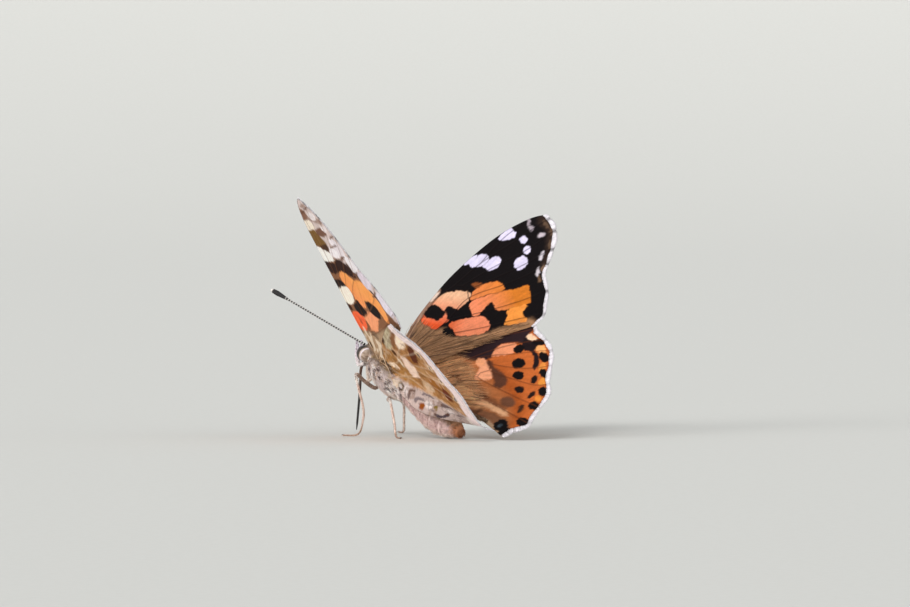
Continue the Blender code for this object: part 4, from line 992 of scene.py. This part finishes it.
wing_flats = {}
for kind, (costa, outer, hind, vein_points, size, *patterns) in WING_KINDS.items():
    rows, columns = size
    ends = np.array([line[-1] for line in vein_points], float)
    inner_margin = shortened(kind, outer, ends)
    flat = wing_grid([np.array(p, float) for p in costa], inner_margin, hind, rows, columns)
    veins = [smooth_path(line, 0.8) for line in vein_points]
    to_vein = line_distance(flat, veins)
    to_margin = line_distance(flat, [inner_margin])
    upper = painted(flat, patterns[0], patterns[1], UPPER_SEED)
    under = painted(flat, patterns[2], patterns[3], UNDER_SEED)
    on_vein = np.clip(1 - to_vein / 0.16, 0, 1)
    base = FORE_BASE if kind == "forewing" else HIND_BASE
    bearing, reach, streak, parting = strands(kind, flat)
    haired = inside_share(flat, base, 1.6)
    upper *= 1 + ((0.1 + 0.35 * haired) * streak)[..., None]
    # Painted shade: dark partings between the strands of hair over the wing's base
    upper = mixed(upper, linear("#3f2a20"), 0.6 * parting * haired)
    under *= 1 + (0.1 * streak)[..., None]
    if kind == "hindwing":
        marble = soft_noise(flat, 1.1, 90) + 0.6 * soft_noise(flat, 0.5, 91)
        under = mixed(under, linear("#6e431e"), np.clip(marble * 1.2 - 0.3, 0, 0.4))
        paler = np.clip(-marble * 1.2 - 0.35, 0, 0.3) * np.clip(under[..., 0] * 3 - 0.5, 0, 1)
        under = mixed(under, linear("#f4dcc4"), paler * (1 - inside_share(flat, HIND_FOLD, 0.8)))
        contour = soft_noise(flat * (1.6, 1.0), 0.9, 93) + 0.4 * soft_noise(flat, 0.3, 94)
        ringed = np.clip(1.2 - np.abs(contour - 0.12) / 0.1, 0, 1) * inside_share(flat, HIND_FOLD, 0.8)
        under = mixed(under, linear("#6e605f"), ringed * np.clip((19 + flat[..., 1]) / 2, 0, 0.62))
        under = mixed(under, linear("#f0dcda"), (1.9 + np.clip((-17 - flat[..., 1]) / 4, 0, 1) - to_margin
                                                 + 0.35 * marble) * 1.6)
        under = mixed(under, linear("#b49a98"), np.clip(1 - np.abs(to_margin - 0.8) / 0.16, 0, 1) * 0.4)
        under = mixed(under, linear("#f0dcc4"), np.clip(1 - to_vein / 0.3, 0, 1) * 0.22)
        upper = mixed(upper, linear("#5a2e18"), on_vein * 0.65)
        upper = mixed(upper, linear("#1d1211"), np.clip(1 - to_margin / 0.3, 0, 1) * 0.75)
    else:
        under = mixed(under, linear("#7a4c30"), on_vein * 0.6)
        upper = mixed(upper, linear("#140c0b"), on_vein * 0.8)
    dash = soft_noise(np.stack([bearing * 8, reach * 0.7], -1), 1.0, 97)
    near_root = np.clip((8.5 - reach) / 2.5, 0, 1)
    under = mixed(under, linear("#3c2a1e"), np.clip((dash - 0.28) * 5, 0, 0.85) * near_root)
    under = mixed(under, linear("#f0dcc2"), np.clip((-dash - 0.25) * 5, 0, 0.7) * near_root)
    upper *= grain(flat, 101)[..., None]
    under *= grain(flat, 111)[..., None]
    share = np.minimum(np.minimum(np.arange(rows), np.arange(rows)[::-1])[:, None] * 2.0 / 9,
                       np.minimum(np.arange(columns), np.arange(columns)[::-1])[None] / 4.0)
    vein = VEIN_RISE * np.clip(1 - to_vein / VEIN_HALF_WIDTH, 0, 1) ** 0.7
    half = (MEMBRANE / 2 + vein) * np.clip(share, 0, 1)
    rim = np.ones((rows, columns), bool)
    rim[1:-1, 1:-1] = False
    below = np.arange(rows * columns).reshape(rows, columns)
    below[~rim] = rows * columns + np.arange((~rim).sum())
    top = triangles_of_grid(rows, columns)
    bottom = below.ravel()[top][:, ::-1]
    faces = np.concatenate([top, bottom])
    spots = on_sheet(flat.reshape(-1, 2))
    patch = np.concatenate([spots[top.ravel()], spots[top[:, ::-1].ravel()] + (0.5, 0)])
    tint = np.vstack([upper.reshape(-1, 3), under[~rim]])
    wing_flats[kind] = (inner_margin, ends)
    for side_name, side in SIDES.items():
        name = f"{kind}_{side_name}"
        middle = wing_place(name, flat)
        normal = unit(np.cross(np.gradient(middle, axis=0), np.gradient(middle, axis=1)))
        normal = normal * np.sign((normal * wing_axes(name)[2]).sum(-1).mean())
        above, under_side = middle + normal * half[..., None], middle - normal * half[..., None]
        points = np.vstack([above.reshape(-1, 3), under_side[~rim]])
        turned = facing_out(to_world(points), faces)
        corner = patch if turned is faces else patch.reshape(-1, 3, 2)[:, ::-1].reshape(-1, 2)
        wing = new_piece(f"scaled_{name}", to_world(points), turned, scales, tint, corner)
        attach(wing, "root")
        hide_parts(name)


# The fringe: narrow scales 0.5 mm long that stand out from the outer margin of each wing, white
# between the veins and dark at their ends. Gold-brown hair lies outwards over the wings' bases, and
# more of it edges the hindwings beside the abdomen.

FRINGE_COUNT = 1500
EDGING_COUNT = 1500
# How far a fringe scale reaches back under the margin
SCALE_TUCK = 0.12
# Hair: (count, corners of the box it is drawn in, length, soft border, corners of its field, how far it
# pales from the wing's own colour, how bright it is)
HAIR_FIELDS = {
    "forewing": (2300, (0.8, -11.0), (14.5, 4.2), 1.3, 1.2,
                 [(0.5, 2.0), (4, 2.9), (7.0, 3.2), (7.0, 0.4), (7.1, -2), (7.8, -4.5), (10, -7.0),
                  (12.5, -8.8), (14.2, -10.8), (12, -9.8), (6, -5.4), (2.5, -2.4), (0.5, -0.8)], 0.42, 1.0),
    "hindwing": (2100, (-0.2, -15.0), (6.6, -1.6), 1.7, 1.8,
                 [(0.8, -1.8), (3.2, -2.2), (4.6, -4), (4.8, -7), (3.9, -8.8), (3.0, -11.0), (2.3, -12.6),
                  (1.4, -13.2), (0.7, -12), (0.8, -9), (1.3, -6), (1.3, -3.6)], 0.6, 1.42),
}


def surface_way(name, flat, way):
    """Body directions of flat directions on a wing, by a small step along it, and the wing's normal
    there."""
    here = wing_place(name, flat)
    ahead = unit(wing_place(name, flat + 0.02 * way) - here)
    beside = unit(wing_place(name, flat + 0.02 * np.stack([-way[:, 1], way[:, 0]], 1)) - here)
    normal = unit(np.cross(ahead, beside))
    return here, ahead, normal * np.sign((normal * wing_axes(name)[2]).sum(-1, keepdims=True))


for kind, (inner_margin, ends) in wing_flats.items():
    draw = np.random.default_rng(7 if kind == "forewing" else 8)
    share = np.sort(draw.uniform(0.004, 0.996, FRINGE_COUNT))
    root = along_line(inner_margin, share)
    tangent = unit(along_line(inner_margin, np.clip(share + 0.004, 0, 1))
                   - along_line(inner_margin, np.clip(share - 0.004, 0, 1)))
    outward = np.stack([-tangent[:, 1], tangent[:, 0]], 1)
    outward = unit(outward + tangent * draw.normal(0, 0.08, FRINGE_COUNT)[:, None])
    from_vein = np.linalg.norm(root[:, None] - ends[None], axis=-1).min(1)
    dark_reach, darkness = (0.5, 0.8) if kind == "forewing" else (0.36, 0.35)
    dark = np.clip(1.2 - from_vein / dark_reach + draw.normal(0, 0.15, FRINGE_COUNT), 0, 1) * darkness
    colours = mixed(linear("#f0eaee"), linear("#33292a"), dark) * draw.uniform(0.88, 1.08, (FRINGE_COUNT, 1))
    lengths = (np.interp(share, *FRINGE[kind]) * (0.62 + 0.6 * scallop(root, ends))
               * draw.uniform(0.8, 1.12, FRINGE_COUNT)
               * np.interp(share, [0, 0.03, 0.97, 1], [0.6, 1, 1, 0.6]))
    hair_count, field_low, field_high, hair_length, soft, field, pale, glow = HAIR_FIELDS[kind]
    spots = draw.uniform(field_low, field_high, (hair_count * 4, 2))
    spots = spots[draw.uniform(0, 1, len(spots)) < inside_share(spots, field, soft)][:hair_count]
    hair_count = len(spots)
    lie = unit(spots - HUBS[kind])
    lie = unit(lie + draw.normal(0, 0.06, lie.shape))
    hair_size = hair_length * draw.uniform(0.6, 1.2, hair_count)
    middles = spots + lie * hair_size[:, None] * 0.5
    light, parting = strands(kind, middles)[2:]
    hair_colours = painted(middles, *WING_KINDS[kind][5:7], UPPER_SEED)
    hair_colours = mixed(hair_colours, linear("#d8a878"), pale)
    hair_colours = hair_colours * (glow + 0.45 * light)[:, None] * draw.uniform(0.75, 1.2, (hair_count, 1))
    # Painted shade: hairs darkened where they lie in a parting between strands
    hair_colours = mixed(hair_colours, linear("#4a3226"), 0.75 * parting)
    edge_share = draw.uniform(0.2, 0.96, EDGING_COUNT)
    edge_root = along_line(HIND_INNER, edge_share) + draw.uniform(0, 0.6, (EDGING_COUNT, 1)) * (1, 0)
    edge_size = draw.uniform(0.9, 1.7, EDGING_COUNT) * np.interp(edge_share, [0.2, 0.45, 0.9], [0.55, 1, 1])
    edge_colours = mixed(linear("#7d5c44"), linear("#c7a684"), draw.uniform(-0.2, 1, EDGING_COUNT))
    for side_name, side in SIDES.items():
        name = f"{kind}_{side_name}"
        here, way, normal = surface_way(name, root - outward * SCALE_TUCK, outward)
        layer = draw.uniform(-0.03, 0.03, FRINGE_COUNT)[:, None]
        points, faces = blades(here + normal * layer, way, normal, lengths + SCALE_TUCK,
                               draw.uniform(0.09, 0.15, FRINGE_COUNT), 0.0, 0.3)
        fringe = new_piece(f"fringe_{name}", to_world(points), faces, hair, blade_tint(colours, 0.9, 1.0),
                           blade_patch(on_sheet(root), faces))
        here, way, normal = surface_way(name, spots, lie)
        steep = np.radians(draw.uniform(2, 8, hair_count))[:, None]
        points, faces = blades(here + normal * 0.05, unit(way * np.cos(steep) + normal * np.sin(steep)),
                               normal, hair_size, draw.uniform(0.04, 0.075, hair_count), 0.05)
        down = new_piece(f"base_hair_{name}", to_world(points), faces, hair, blade_tint(hair_colours),
                         blade_patch(on_sheet(spots), faces))
        edging = []
        if kind == "hindwing":
            here, _, normal = surface_way(name, edge_root, np.tile((1.0, 0.0), (EDGING_COUNT, 1)))
            inwards = np.stack([draw.uniform(-0.9, -0.2, EDGING_COUNT), np.full(EDGING_COUNT, -side),
                                draw.uniform(0.1, 0.5, EDGING_COUNT)], 1)
            points, faces = blades(here + normal * 0.06, unit(inwards), normal, edge_size,
                                   draw.uniform(0.05, 0.09, EDGING_COUNT), 0.1)
            edging = [new_piece(f"edging_{name}", to_world(points), faces, hair, blade_tint(edge_colours),
                                blade_patch(on_sheet(edge_root), faces))]
        for piece in (fringe, down, *edging):
            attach(piece, "root")


# The antennae: stiff jointed rods of about forty short segments, black with a white ring at the foot
# of each, ending in a flattened club with a pale tip. They are hinged on top of the head.

ANTENNA_WAY = {"left": (14.9, 5.4, 0.75), "right": (14.6, -6.0, 1.8)}
ANTENNA_LENGTH = 16.0
ANTENNA_SEGMENTS = 40
SHAFT_RADIUS = 0.145
CLUB_RADIUS = 0.38
ANTENNA_SIDES = 14

HEAD_CENTRE = np.array([HEAD_AHEAD, 0.0, 0.4])
HEAD_RADII = np.array([1.2, 1.35, 1.4])


def head_surface(towards, gap=0.0):
    """The place where a line from the head's centre leaves the head's ellipsoid, and a gap past that."""
    towards = np.array(towards, float)
    reach = 1 / np.linalg.norm(towards / HEAD_RADII)
    return HEAD_CENTRE + towards * reach + unit(towards) * gap


def carried(path, radii, sides, reference, flatten=1.0):
    """Rings of a round profile carried along a path: across is square to the path and a reference
    way, and the other radius is flattened by a factor."""
    tangent = unit(np.gradient(path, axis=0))
    across = unit(np.cross(tangent, reference))
    lift = np.cross(across, tangent)
    turn = np.linspace(0, 2 * math.pi, sides, endpoint=False)
    radii = np.asarray(radii)[:, None, None]
    return path[:, None] + radii * (np.cos(turn)[None, :, None] * across[:, None]
                                    + flatten * np.sin(turn)[None, :, None] * lift[:, None])


def together(shapes):
    """One list of points, triangles and colours from several closed shapes, each (points, faces,
    colours)."""
    start = np.cumsum([0] + [len(points) for points, _, _ in shapes[:-1]])
    return (np.vstack([points for points, _, _ in shapes]),
            np.vstack([faces + first for first, (_, faces, _) in zip(start, shapes)]),
            np.vstack([tint for _, _, tint in shapes]))


def ring_tint(colours, sides):
    """One colour for each ring of a closed loft, and for the two poles."""
    return np.vstack([np.repeat(colours, sides, 0), colours[:1], colours[-1:]])


for name, side in SIDES.items():
    socket = (0.75, 0.4 * side, 1.05)
    base = head_surface(socket)
    tip = head_surface(socket, 0.35) + unit(np.array(ANTENNA_WAY[name])) * ANTENNA_LENGTH
    share = np.linspace(0, 1, 481)
    path = base + share[:, None] * (tip - base)
    joint = (share * ANTENNA_SEGMENTS) % 1
    radii = np.interp(share, [0, 0.008, 0.03, 0.8, 0.86, 0.93, 0.975, 0.993, 1.0],
                      [0.2, 0.24, SHAFT_RADIUS, SHAFT_RADIUS * 0.9, 0.26, CLUB_RADIUS, CLUB_RADIUS * 0.86,
                       CLUB_RADIUS * 0.45, 0.04])
    radii = radii * (1 - 0.1 * np.cos(2 * math.pi * joint) ** 6 * (share < 0.985))
    points, faces = closed_loft(carried(path, radii, ANTENNA_SIDES, UP, 0.85))
    white = np.clip(1.4 - np.abs(joint - 0.5) / 0.16, 0, 1) * np.clip((0.86 - share) * 30, 0, 1)
    white = np.maximum(white * 0.85, np.clip((share - 0.972) * 80, 0, 1))
    tint = mixed(linear("#191413"), linear("#e9e2da"), white)
    tint = ring_tint(tint, ANTENNA_SIDES)
    antenna = new_piece(f"ringed_antenna_{name}", to_world(points), faces, chitin, tint)
    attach(antenna, "root")
    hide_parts(f"antenna_{name}")


# The palps: two blunt feelers that curve up in front of the face, thickly clad in pale scales with a
# sprinkling of dark ones.

# Radii by share of the length: (shares, radii)
PALP_RADII = ([0, 0.2, 0.6, 0.85, 1.0], [0.17, 0.22, 0.22, 0.17, 0.05])
PALP_SCALES = 1500
PALP_SIDES = 20


def coat_on_path(path, radii, reference, count, length, width, angle, draw):
    """Blades rooted round a carried path, lying towards its end. Returns points, faces, and each
    root's share and turn."""
    share = (np.arange(count) + draw.uniform(0, 1, count)) / count
    turn = (np.arange(count) * GOLDEN_TURN) % (2 * math.pi)
    run = np.linspace(0, 1, len(path))
    tangent = unit(np.gradient(path, axis=0))
    centre = np.stack([np.interp(share, run, path[:, k]) for k in range(3)], 1)
    way = unit(np.stack([np.interp(share, run, tangent[:, k]) for k in range(3)], 1))
    across = unit(np.cross(way, reference))
    lift = np.cross(across, way)
    normal = np.cos(turn)[:, None] * across + np.sin(turn)[:, None] * lift
    root = centre + normal * (np.interp(share, run, radii) * 0.9)[:, None]
    steep = np.radians(angle * draw.uniform(0.6, 1.3, count))[:, None]
    lie = unit(way + np.cross(normal, way) * draw.normal(0, 0.15, count)[:, None])
    sizes = length * draw.uniform(0.7, 1.2, count)
    points, faces = blades(root, lie * np.cos(steep) + normal * np.sin(steep), normal, sizes,
                           width * draw.uniform(0.8, 1.2, count), 0.15)
    return points, faces, share, turn


for name, side in SIDES.items():
    draw = np.random.default_rng(31 + side)
    root = head_surface((-0.25, 0.38 * side, -1.3))
    palp_line = smooth_path([root, (6.6, 0.5 * side, -1.45), (7.45, 0.48 * side, -0.55),
                             (7.85, 0.44 * side, 0.25), (8.3, 0.38 * side, 1.0)], 0.08)
    radii = np.interp(np.linspace(0, 1, len(palp_line)), *PALP_RADII)
    points, faces = closed_loft(carried(palp_line, radii, PALP_SIDES, LEFT, 1.1))
    tone = mixed(linear("#d8c9c4"), linear("#cfc3d0"), np.linspace(0, 1, len(palp_line)))
    tint = ring_tint(tone * 0.7, PALP_SIDES)
    palp = new_piece(f"scaled_palp_{name}", to_world(points), faces, chitin, tint)
    points, faces, share, turn = coat_on_path(palp_line, radii, LEFT, PALP_SCALES, 0.34, 0.07, 20, draw)
    colours = mixed(linear("#fdf0ea"), linear("#e6d9e6"), share + draw.normal(0, 0.2, PALP_SCALES))
    dark = draw.uniform(0, 1, PALP_SCALES) < 0.08 + 0.15 * (share > 0.75)
    colours = mixed(colours, linear("#5c4a44"), dark * 0.9)
    spots = np.stack([share * 0.99, turn / 6.3], 1)
    scales_on_palp = new_piece(f"palp_scales_{name}", to_world(points), faces, hair, blade_tint(colours),
                               blade_patch(spots, faces))
    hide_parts(f"palp_{name}")
    for piece in (palp, scales_on_palp):
        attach(piece, "root")


# The proboscis: two half tubes zipped side by side into one drinking straw, ribbed by fine rings.
# It hangs straight from under the face, brown above and near-black below.

HALF_TUBE_RADIUS = 0.105
TUBE_SIDES = 12
RIB = 0.12
STEP = 0.03

# Dark tanned chitin: smooth, with a low polish that wears duller in patches of about 0.2 mm.
horn, tree, shader, place = tinted_finish("polished_dark_chitin", {"IOR": 1.55})
patches = add_node(tree, "ShaderNodeTexNoise", {"Scale": 5000.0, "Detail": 3.0}, [(place, "Vector")])
wear = add_node(tree, "ShaderNodeMapRange", {"To Min": 0.3, "To Max": 0.5},
                [(patches.outputs["Fac"], "Value")])
tree.links.new(wear.outputs["Result"], shader.inputs["Roughness"])

proboscis_line = smooth_path([head_surface((0.4, 0, -1.3), -0.25), (6.45, 0, -2.3), (5.6, 0, -4.6),
                              (4.7, 0, -7.6), (4.0, 0, -10.0)], STEP)
share = np.linspace(0, 1, len(proboscis_line))
halves = []
for side in (1, -1):
    radii = HALF_TUBE_RADIUS * np.interp(share, [0, 0.3, 0.9, 1.0], [1.15, 1.0, 0.8, 0.3])
    radii = radii * (1 + 0.06 * np.cos(np.arange(len(share)) * STEP / RIB * 2 * math.pi))
    line = proboscis_line + np.stack([0 * share, side * radii * 0.8, 0 * share], 1)
    points, faces = closed_loft(carried(line, radii, TUBE_SIDES, LEFT, 1.2))
    tone = mixed(linear("#6a4734"), linear("#17110f"), share * 2.2 - 0.15)
    halves.append((points, faces, ring_tint(tone, TUBE_SIDES)))
points, faces, tint = together(halves)
proboscis = new_piece("drinking_straw", to_world(points), faces, horn, tint)
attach(proboscis, "root")
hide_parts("proboscis")


# The legs: jointed rods of chitin clad in flat pinkish-cream scales speckled with dark ones, with
# short spines on the shin and foot and two claws at the end. The forelegs are brushes without
# claws, folded against the chest.

ROOT_HEIGHT = WING_POINT[2]
# Legs: root on the trunk (ahead, left), then joints (ahead, left, height over the floor) from the knee down
LEGS = {
    "midleg_left": ((1.0, 1.25), [(0.9, 5.4, ROOT_HEIGHT + 0.1), (-0.4, 5.2, 3.8), (-0.25, 5.2, 1.9),
                                  (0.15, 5.35, 0.6), (0.9, 5.65, 0.16), (2.5, 6.2, 0.12)]),
    "midleg_right": ((1.0, -1.25), [(2.9, -4.2, 3.9), (3.2, -4.5, 1.9), (3.6, -4.8, 0.6), (4.3, -5.1, 0.16),
                                    (5.8, -5.7, 0.12)]),
    "hindleg_left": ((-1.9, 1.2), [(-4.2, 3.6, 4.7), (-6.2, 4.5, 2.0), (-6.8, 4.8, 0.7), (-7.5, 5.1, 0.16),
                                   (-9.0, 5.7, 0.12)]),
    "hindleg_right": ((-1.9, -1.2), [(-3.7, -3.7, 5.0), (-5.3, -4.5, 2.2), (-5.7, -4.7, 0.8),
                                     (-6.3, -5.0, 0.16), (-7.7, -5.6, 0.12)]),
}
# Radii by share of the length: (shares, radii)
LEG_RADII = ([0, 0.08, 0.3, 0.4, 0.47, 0.7, 0.78, 1.0], [0.24, 0.28, 0.24, 0.16, 0.16, 0.13, 0.11, 0.08])
LEG_SIDES = 16
LEG_SCALES = 2600
SPINE_ROWS = 26
# Shares of the leg's length where the shin and the foot start
SHIN_START = 0.4
FOOT_START = 0.76
FOOT_SEGMENTS = 21


def underside(ahead, left):
    """The trunk's lower surface at a place, as a body place, and the way straight out of it."""
    middle, high, wide = trunk_section(ahead)
    drop = high * math.sqrt(1 - (left / wide) ** 2)
    return np.array([ahead, left, middle - drop]), unit(np.array([0.0, left / wide**2, -drop / high**2]))


def from_stance(places):
    """Body places of stance places (ahead, left, height over the floor), square to each of the
    body's axes."""
    ahead, left, height = np.array(places, float).T
    level = np.stack([left, -ahead, height - ROOT_HEIGHT], 1)
    return level @ np.array([AHEAD, LEFT, UP]).T


FLOOR_UP = from_stance([(0, 0, ROOT_HEIGHT + 1)])[0]
for name, ((ahead, left), joints) in LEGS.items():
    draw = np.random.default_rng(len(name) + int(abs(ahead) * 10))
    root, away = underside(ahead, left)
    knee = from_stance(joints)[0]
    hip = root + 0.1 * (knee - root)
    thigh = hip + 0.5 * (knee - hip)
    line = smooth_path(np.vstack([[root - away * 0.5, hip], thigh, from_stance(joints)]), 0.06)
    share = np.linspace(0, 1, len(line))
    radii = np.interp(share, *LEG_RADII)
    foot = np.clip((share - FOOT_START) * 40, 0, 1)
    radii = radii * (1 + 0.16 * foot * (2 * np.abs((share * FOOT_SEGMENTS) % 1 - 0.5) - 0.5))
    points, faces = closed_loft(carried(line, radii, LEG_SIDES, FLOOR_UP + 0.2 * AHEAD))
    banding = 0.5 + 0.3 * np.sin(share * 60) + (share > 0.78) * 0.2
    tone = mixed(linear("#bfa08e"), linear("#8a6a58"), banding)
    shapes = [(points, faces, ring_tint(tone * 0.8, LEG_SIDES))]
    spine_share = np.repeat(np.linspace(0.5, 0.97, SPINE_ROWS), 2)
    above_foot = spine_share < 0.75
    at = (spine_share * (len(line) - 1)).astype(int)
    way = unit(np.gradient(line, axis=0))[at]
    aside = unit(np.cross(way, FLOOR_UP)) * np.tile([1, -1], SPINE_ROWS)[:, None]
    aside = aside - 0.35 * FLOOR_UP * above_foot[:, None]
    spine_way = unit(way * 0.9 + unit(aside) * 0.8)
    points, faces = blades(line[at], spine_way, unit(np.cross(way, aside)),
                           np.where(above_foot, 0.42, 0.27), np.full(len(at), 0.06), 0.0, 1.0)
    shapes.append((points, faces, np.tile(linear("#3a2a24"), (len(points), 1))))
    end_way = unit(line[-1] - line[-8])
    for spread in (0.5, -0.5):
        bow = np.linspace(0, 1, 12)[:, None]
        claw = (line[-1] + end_way * 0.34 * bow + unit(np.cross(end_way, FLOOR_UP)) * spread * 0.35 * bow
                + FLOOR_UP * (0.12 * np.sin(bow * 3.0) - 0.06 * bow))
        points, faces = closed_loft(carried(claw, np.linspace(0.045, 0.012, 12), 6, FLOOR_UP))
        shapes.append((points, faces, np.tile(linear("#2b1f1b"), (len(points), 1))))
    points, faces, tint = together(shapes)
    leg = new_piece(f"jointed_{name}", to_world(points), faces, chitin, tint)
    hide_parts(name)
    points, faces, spot, turn = coat_on_path(line, radii, FLOOR_UP + 0.2 * AHEAD, LEG_SCALES, 0.26, 0.08, 9,
                                             draw)
    on_thigh = mixed(linear("#fff4ec"), linear("#3c2c26"), (draw.uniform(0, 1, LEG_SCALES) < 0.25) * 0.85)
    on_shin = mixed(linear("#f6ddcf"), linear("#b08e7a"), draw.uniform(-0.6, 0.9, LEG_SCALES))
    on_foot = mixed(linear("#cfac96"), linear("#70564a"), draw.uniform(-0.4, 1, LEG_SCALES))
    colours = mixed(mixed(on_thigh, on_shin, (spot - SHIN_START) * 30), on_foot, (spot - FOOT_START) * 30)
    scales_on_leg = new_piece(f"leg_scales_{name}", to_world(points), faces, hair, blade_tint(colours),
                              blade_patch(np.stack([spot * 0.99, turn / 6.3], 1), faces))
    for piece in (leg, scales_on_leg):
        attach(piece, "root")

FORELEG_RADII = ([0, 0.3, 0.8, 1], [0.16, 0.19, 0.14, 0.05])
FORELEG_SIDES = 14
FORELEG_HAIRS = 1100
for name, side in SIDES.items():
    draw = np.random.default_rng(61 + side)
    root, away = underside(3.1, 0.75 * side)
    chest = [underside(ahead, 0.7 * side) for ahead in (3.3, 3.7, 4.05, 4.35)]
    line = smooth_path([root - away * 0.3] + [place + 0.3 * away for place, away in chest], 0.05)
    radii = np.interp(np.linspace(0, 1, len(line)), *FORELEG_RADII)
    points, faces = closed_loft(carried(line, radii, FORELEG_SIDES, LEFT))
    tint = np.tile(linear("#c9b09e") * 0.8, (len(points), 1))
    foreleg = new_piece(f"brush_foreleg_{name}", to_world(points), faces, chitin, tint)
    points, faces, spot, turn = coat_on_path(line, radii, LEFT, FORELEG_HAIRS, 0.36, 0.06, 15, draw)
    colours = mixed(linear("#eadccf"), linear("#b39a8a"), draw.uniform(-0.3, 1, FORELEG_HAIRS))
    brush = new_piece(f"brush_hair_{name}", to_world(points), faces, hair, blade_tint(colours),
                      blade_patch(np.stack([spot * 0.99, turn / 6.3], 1), faces))
    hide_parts(f"foreleg_{name}")
    for piece in (foreleg, brush):
        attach(piece, "root")
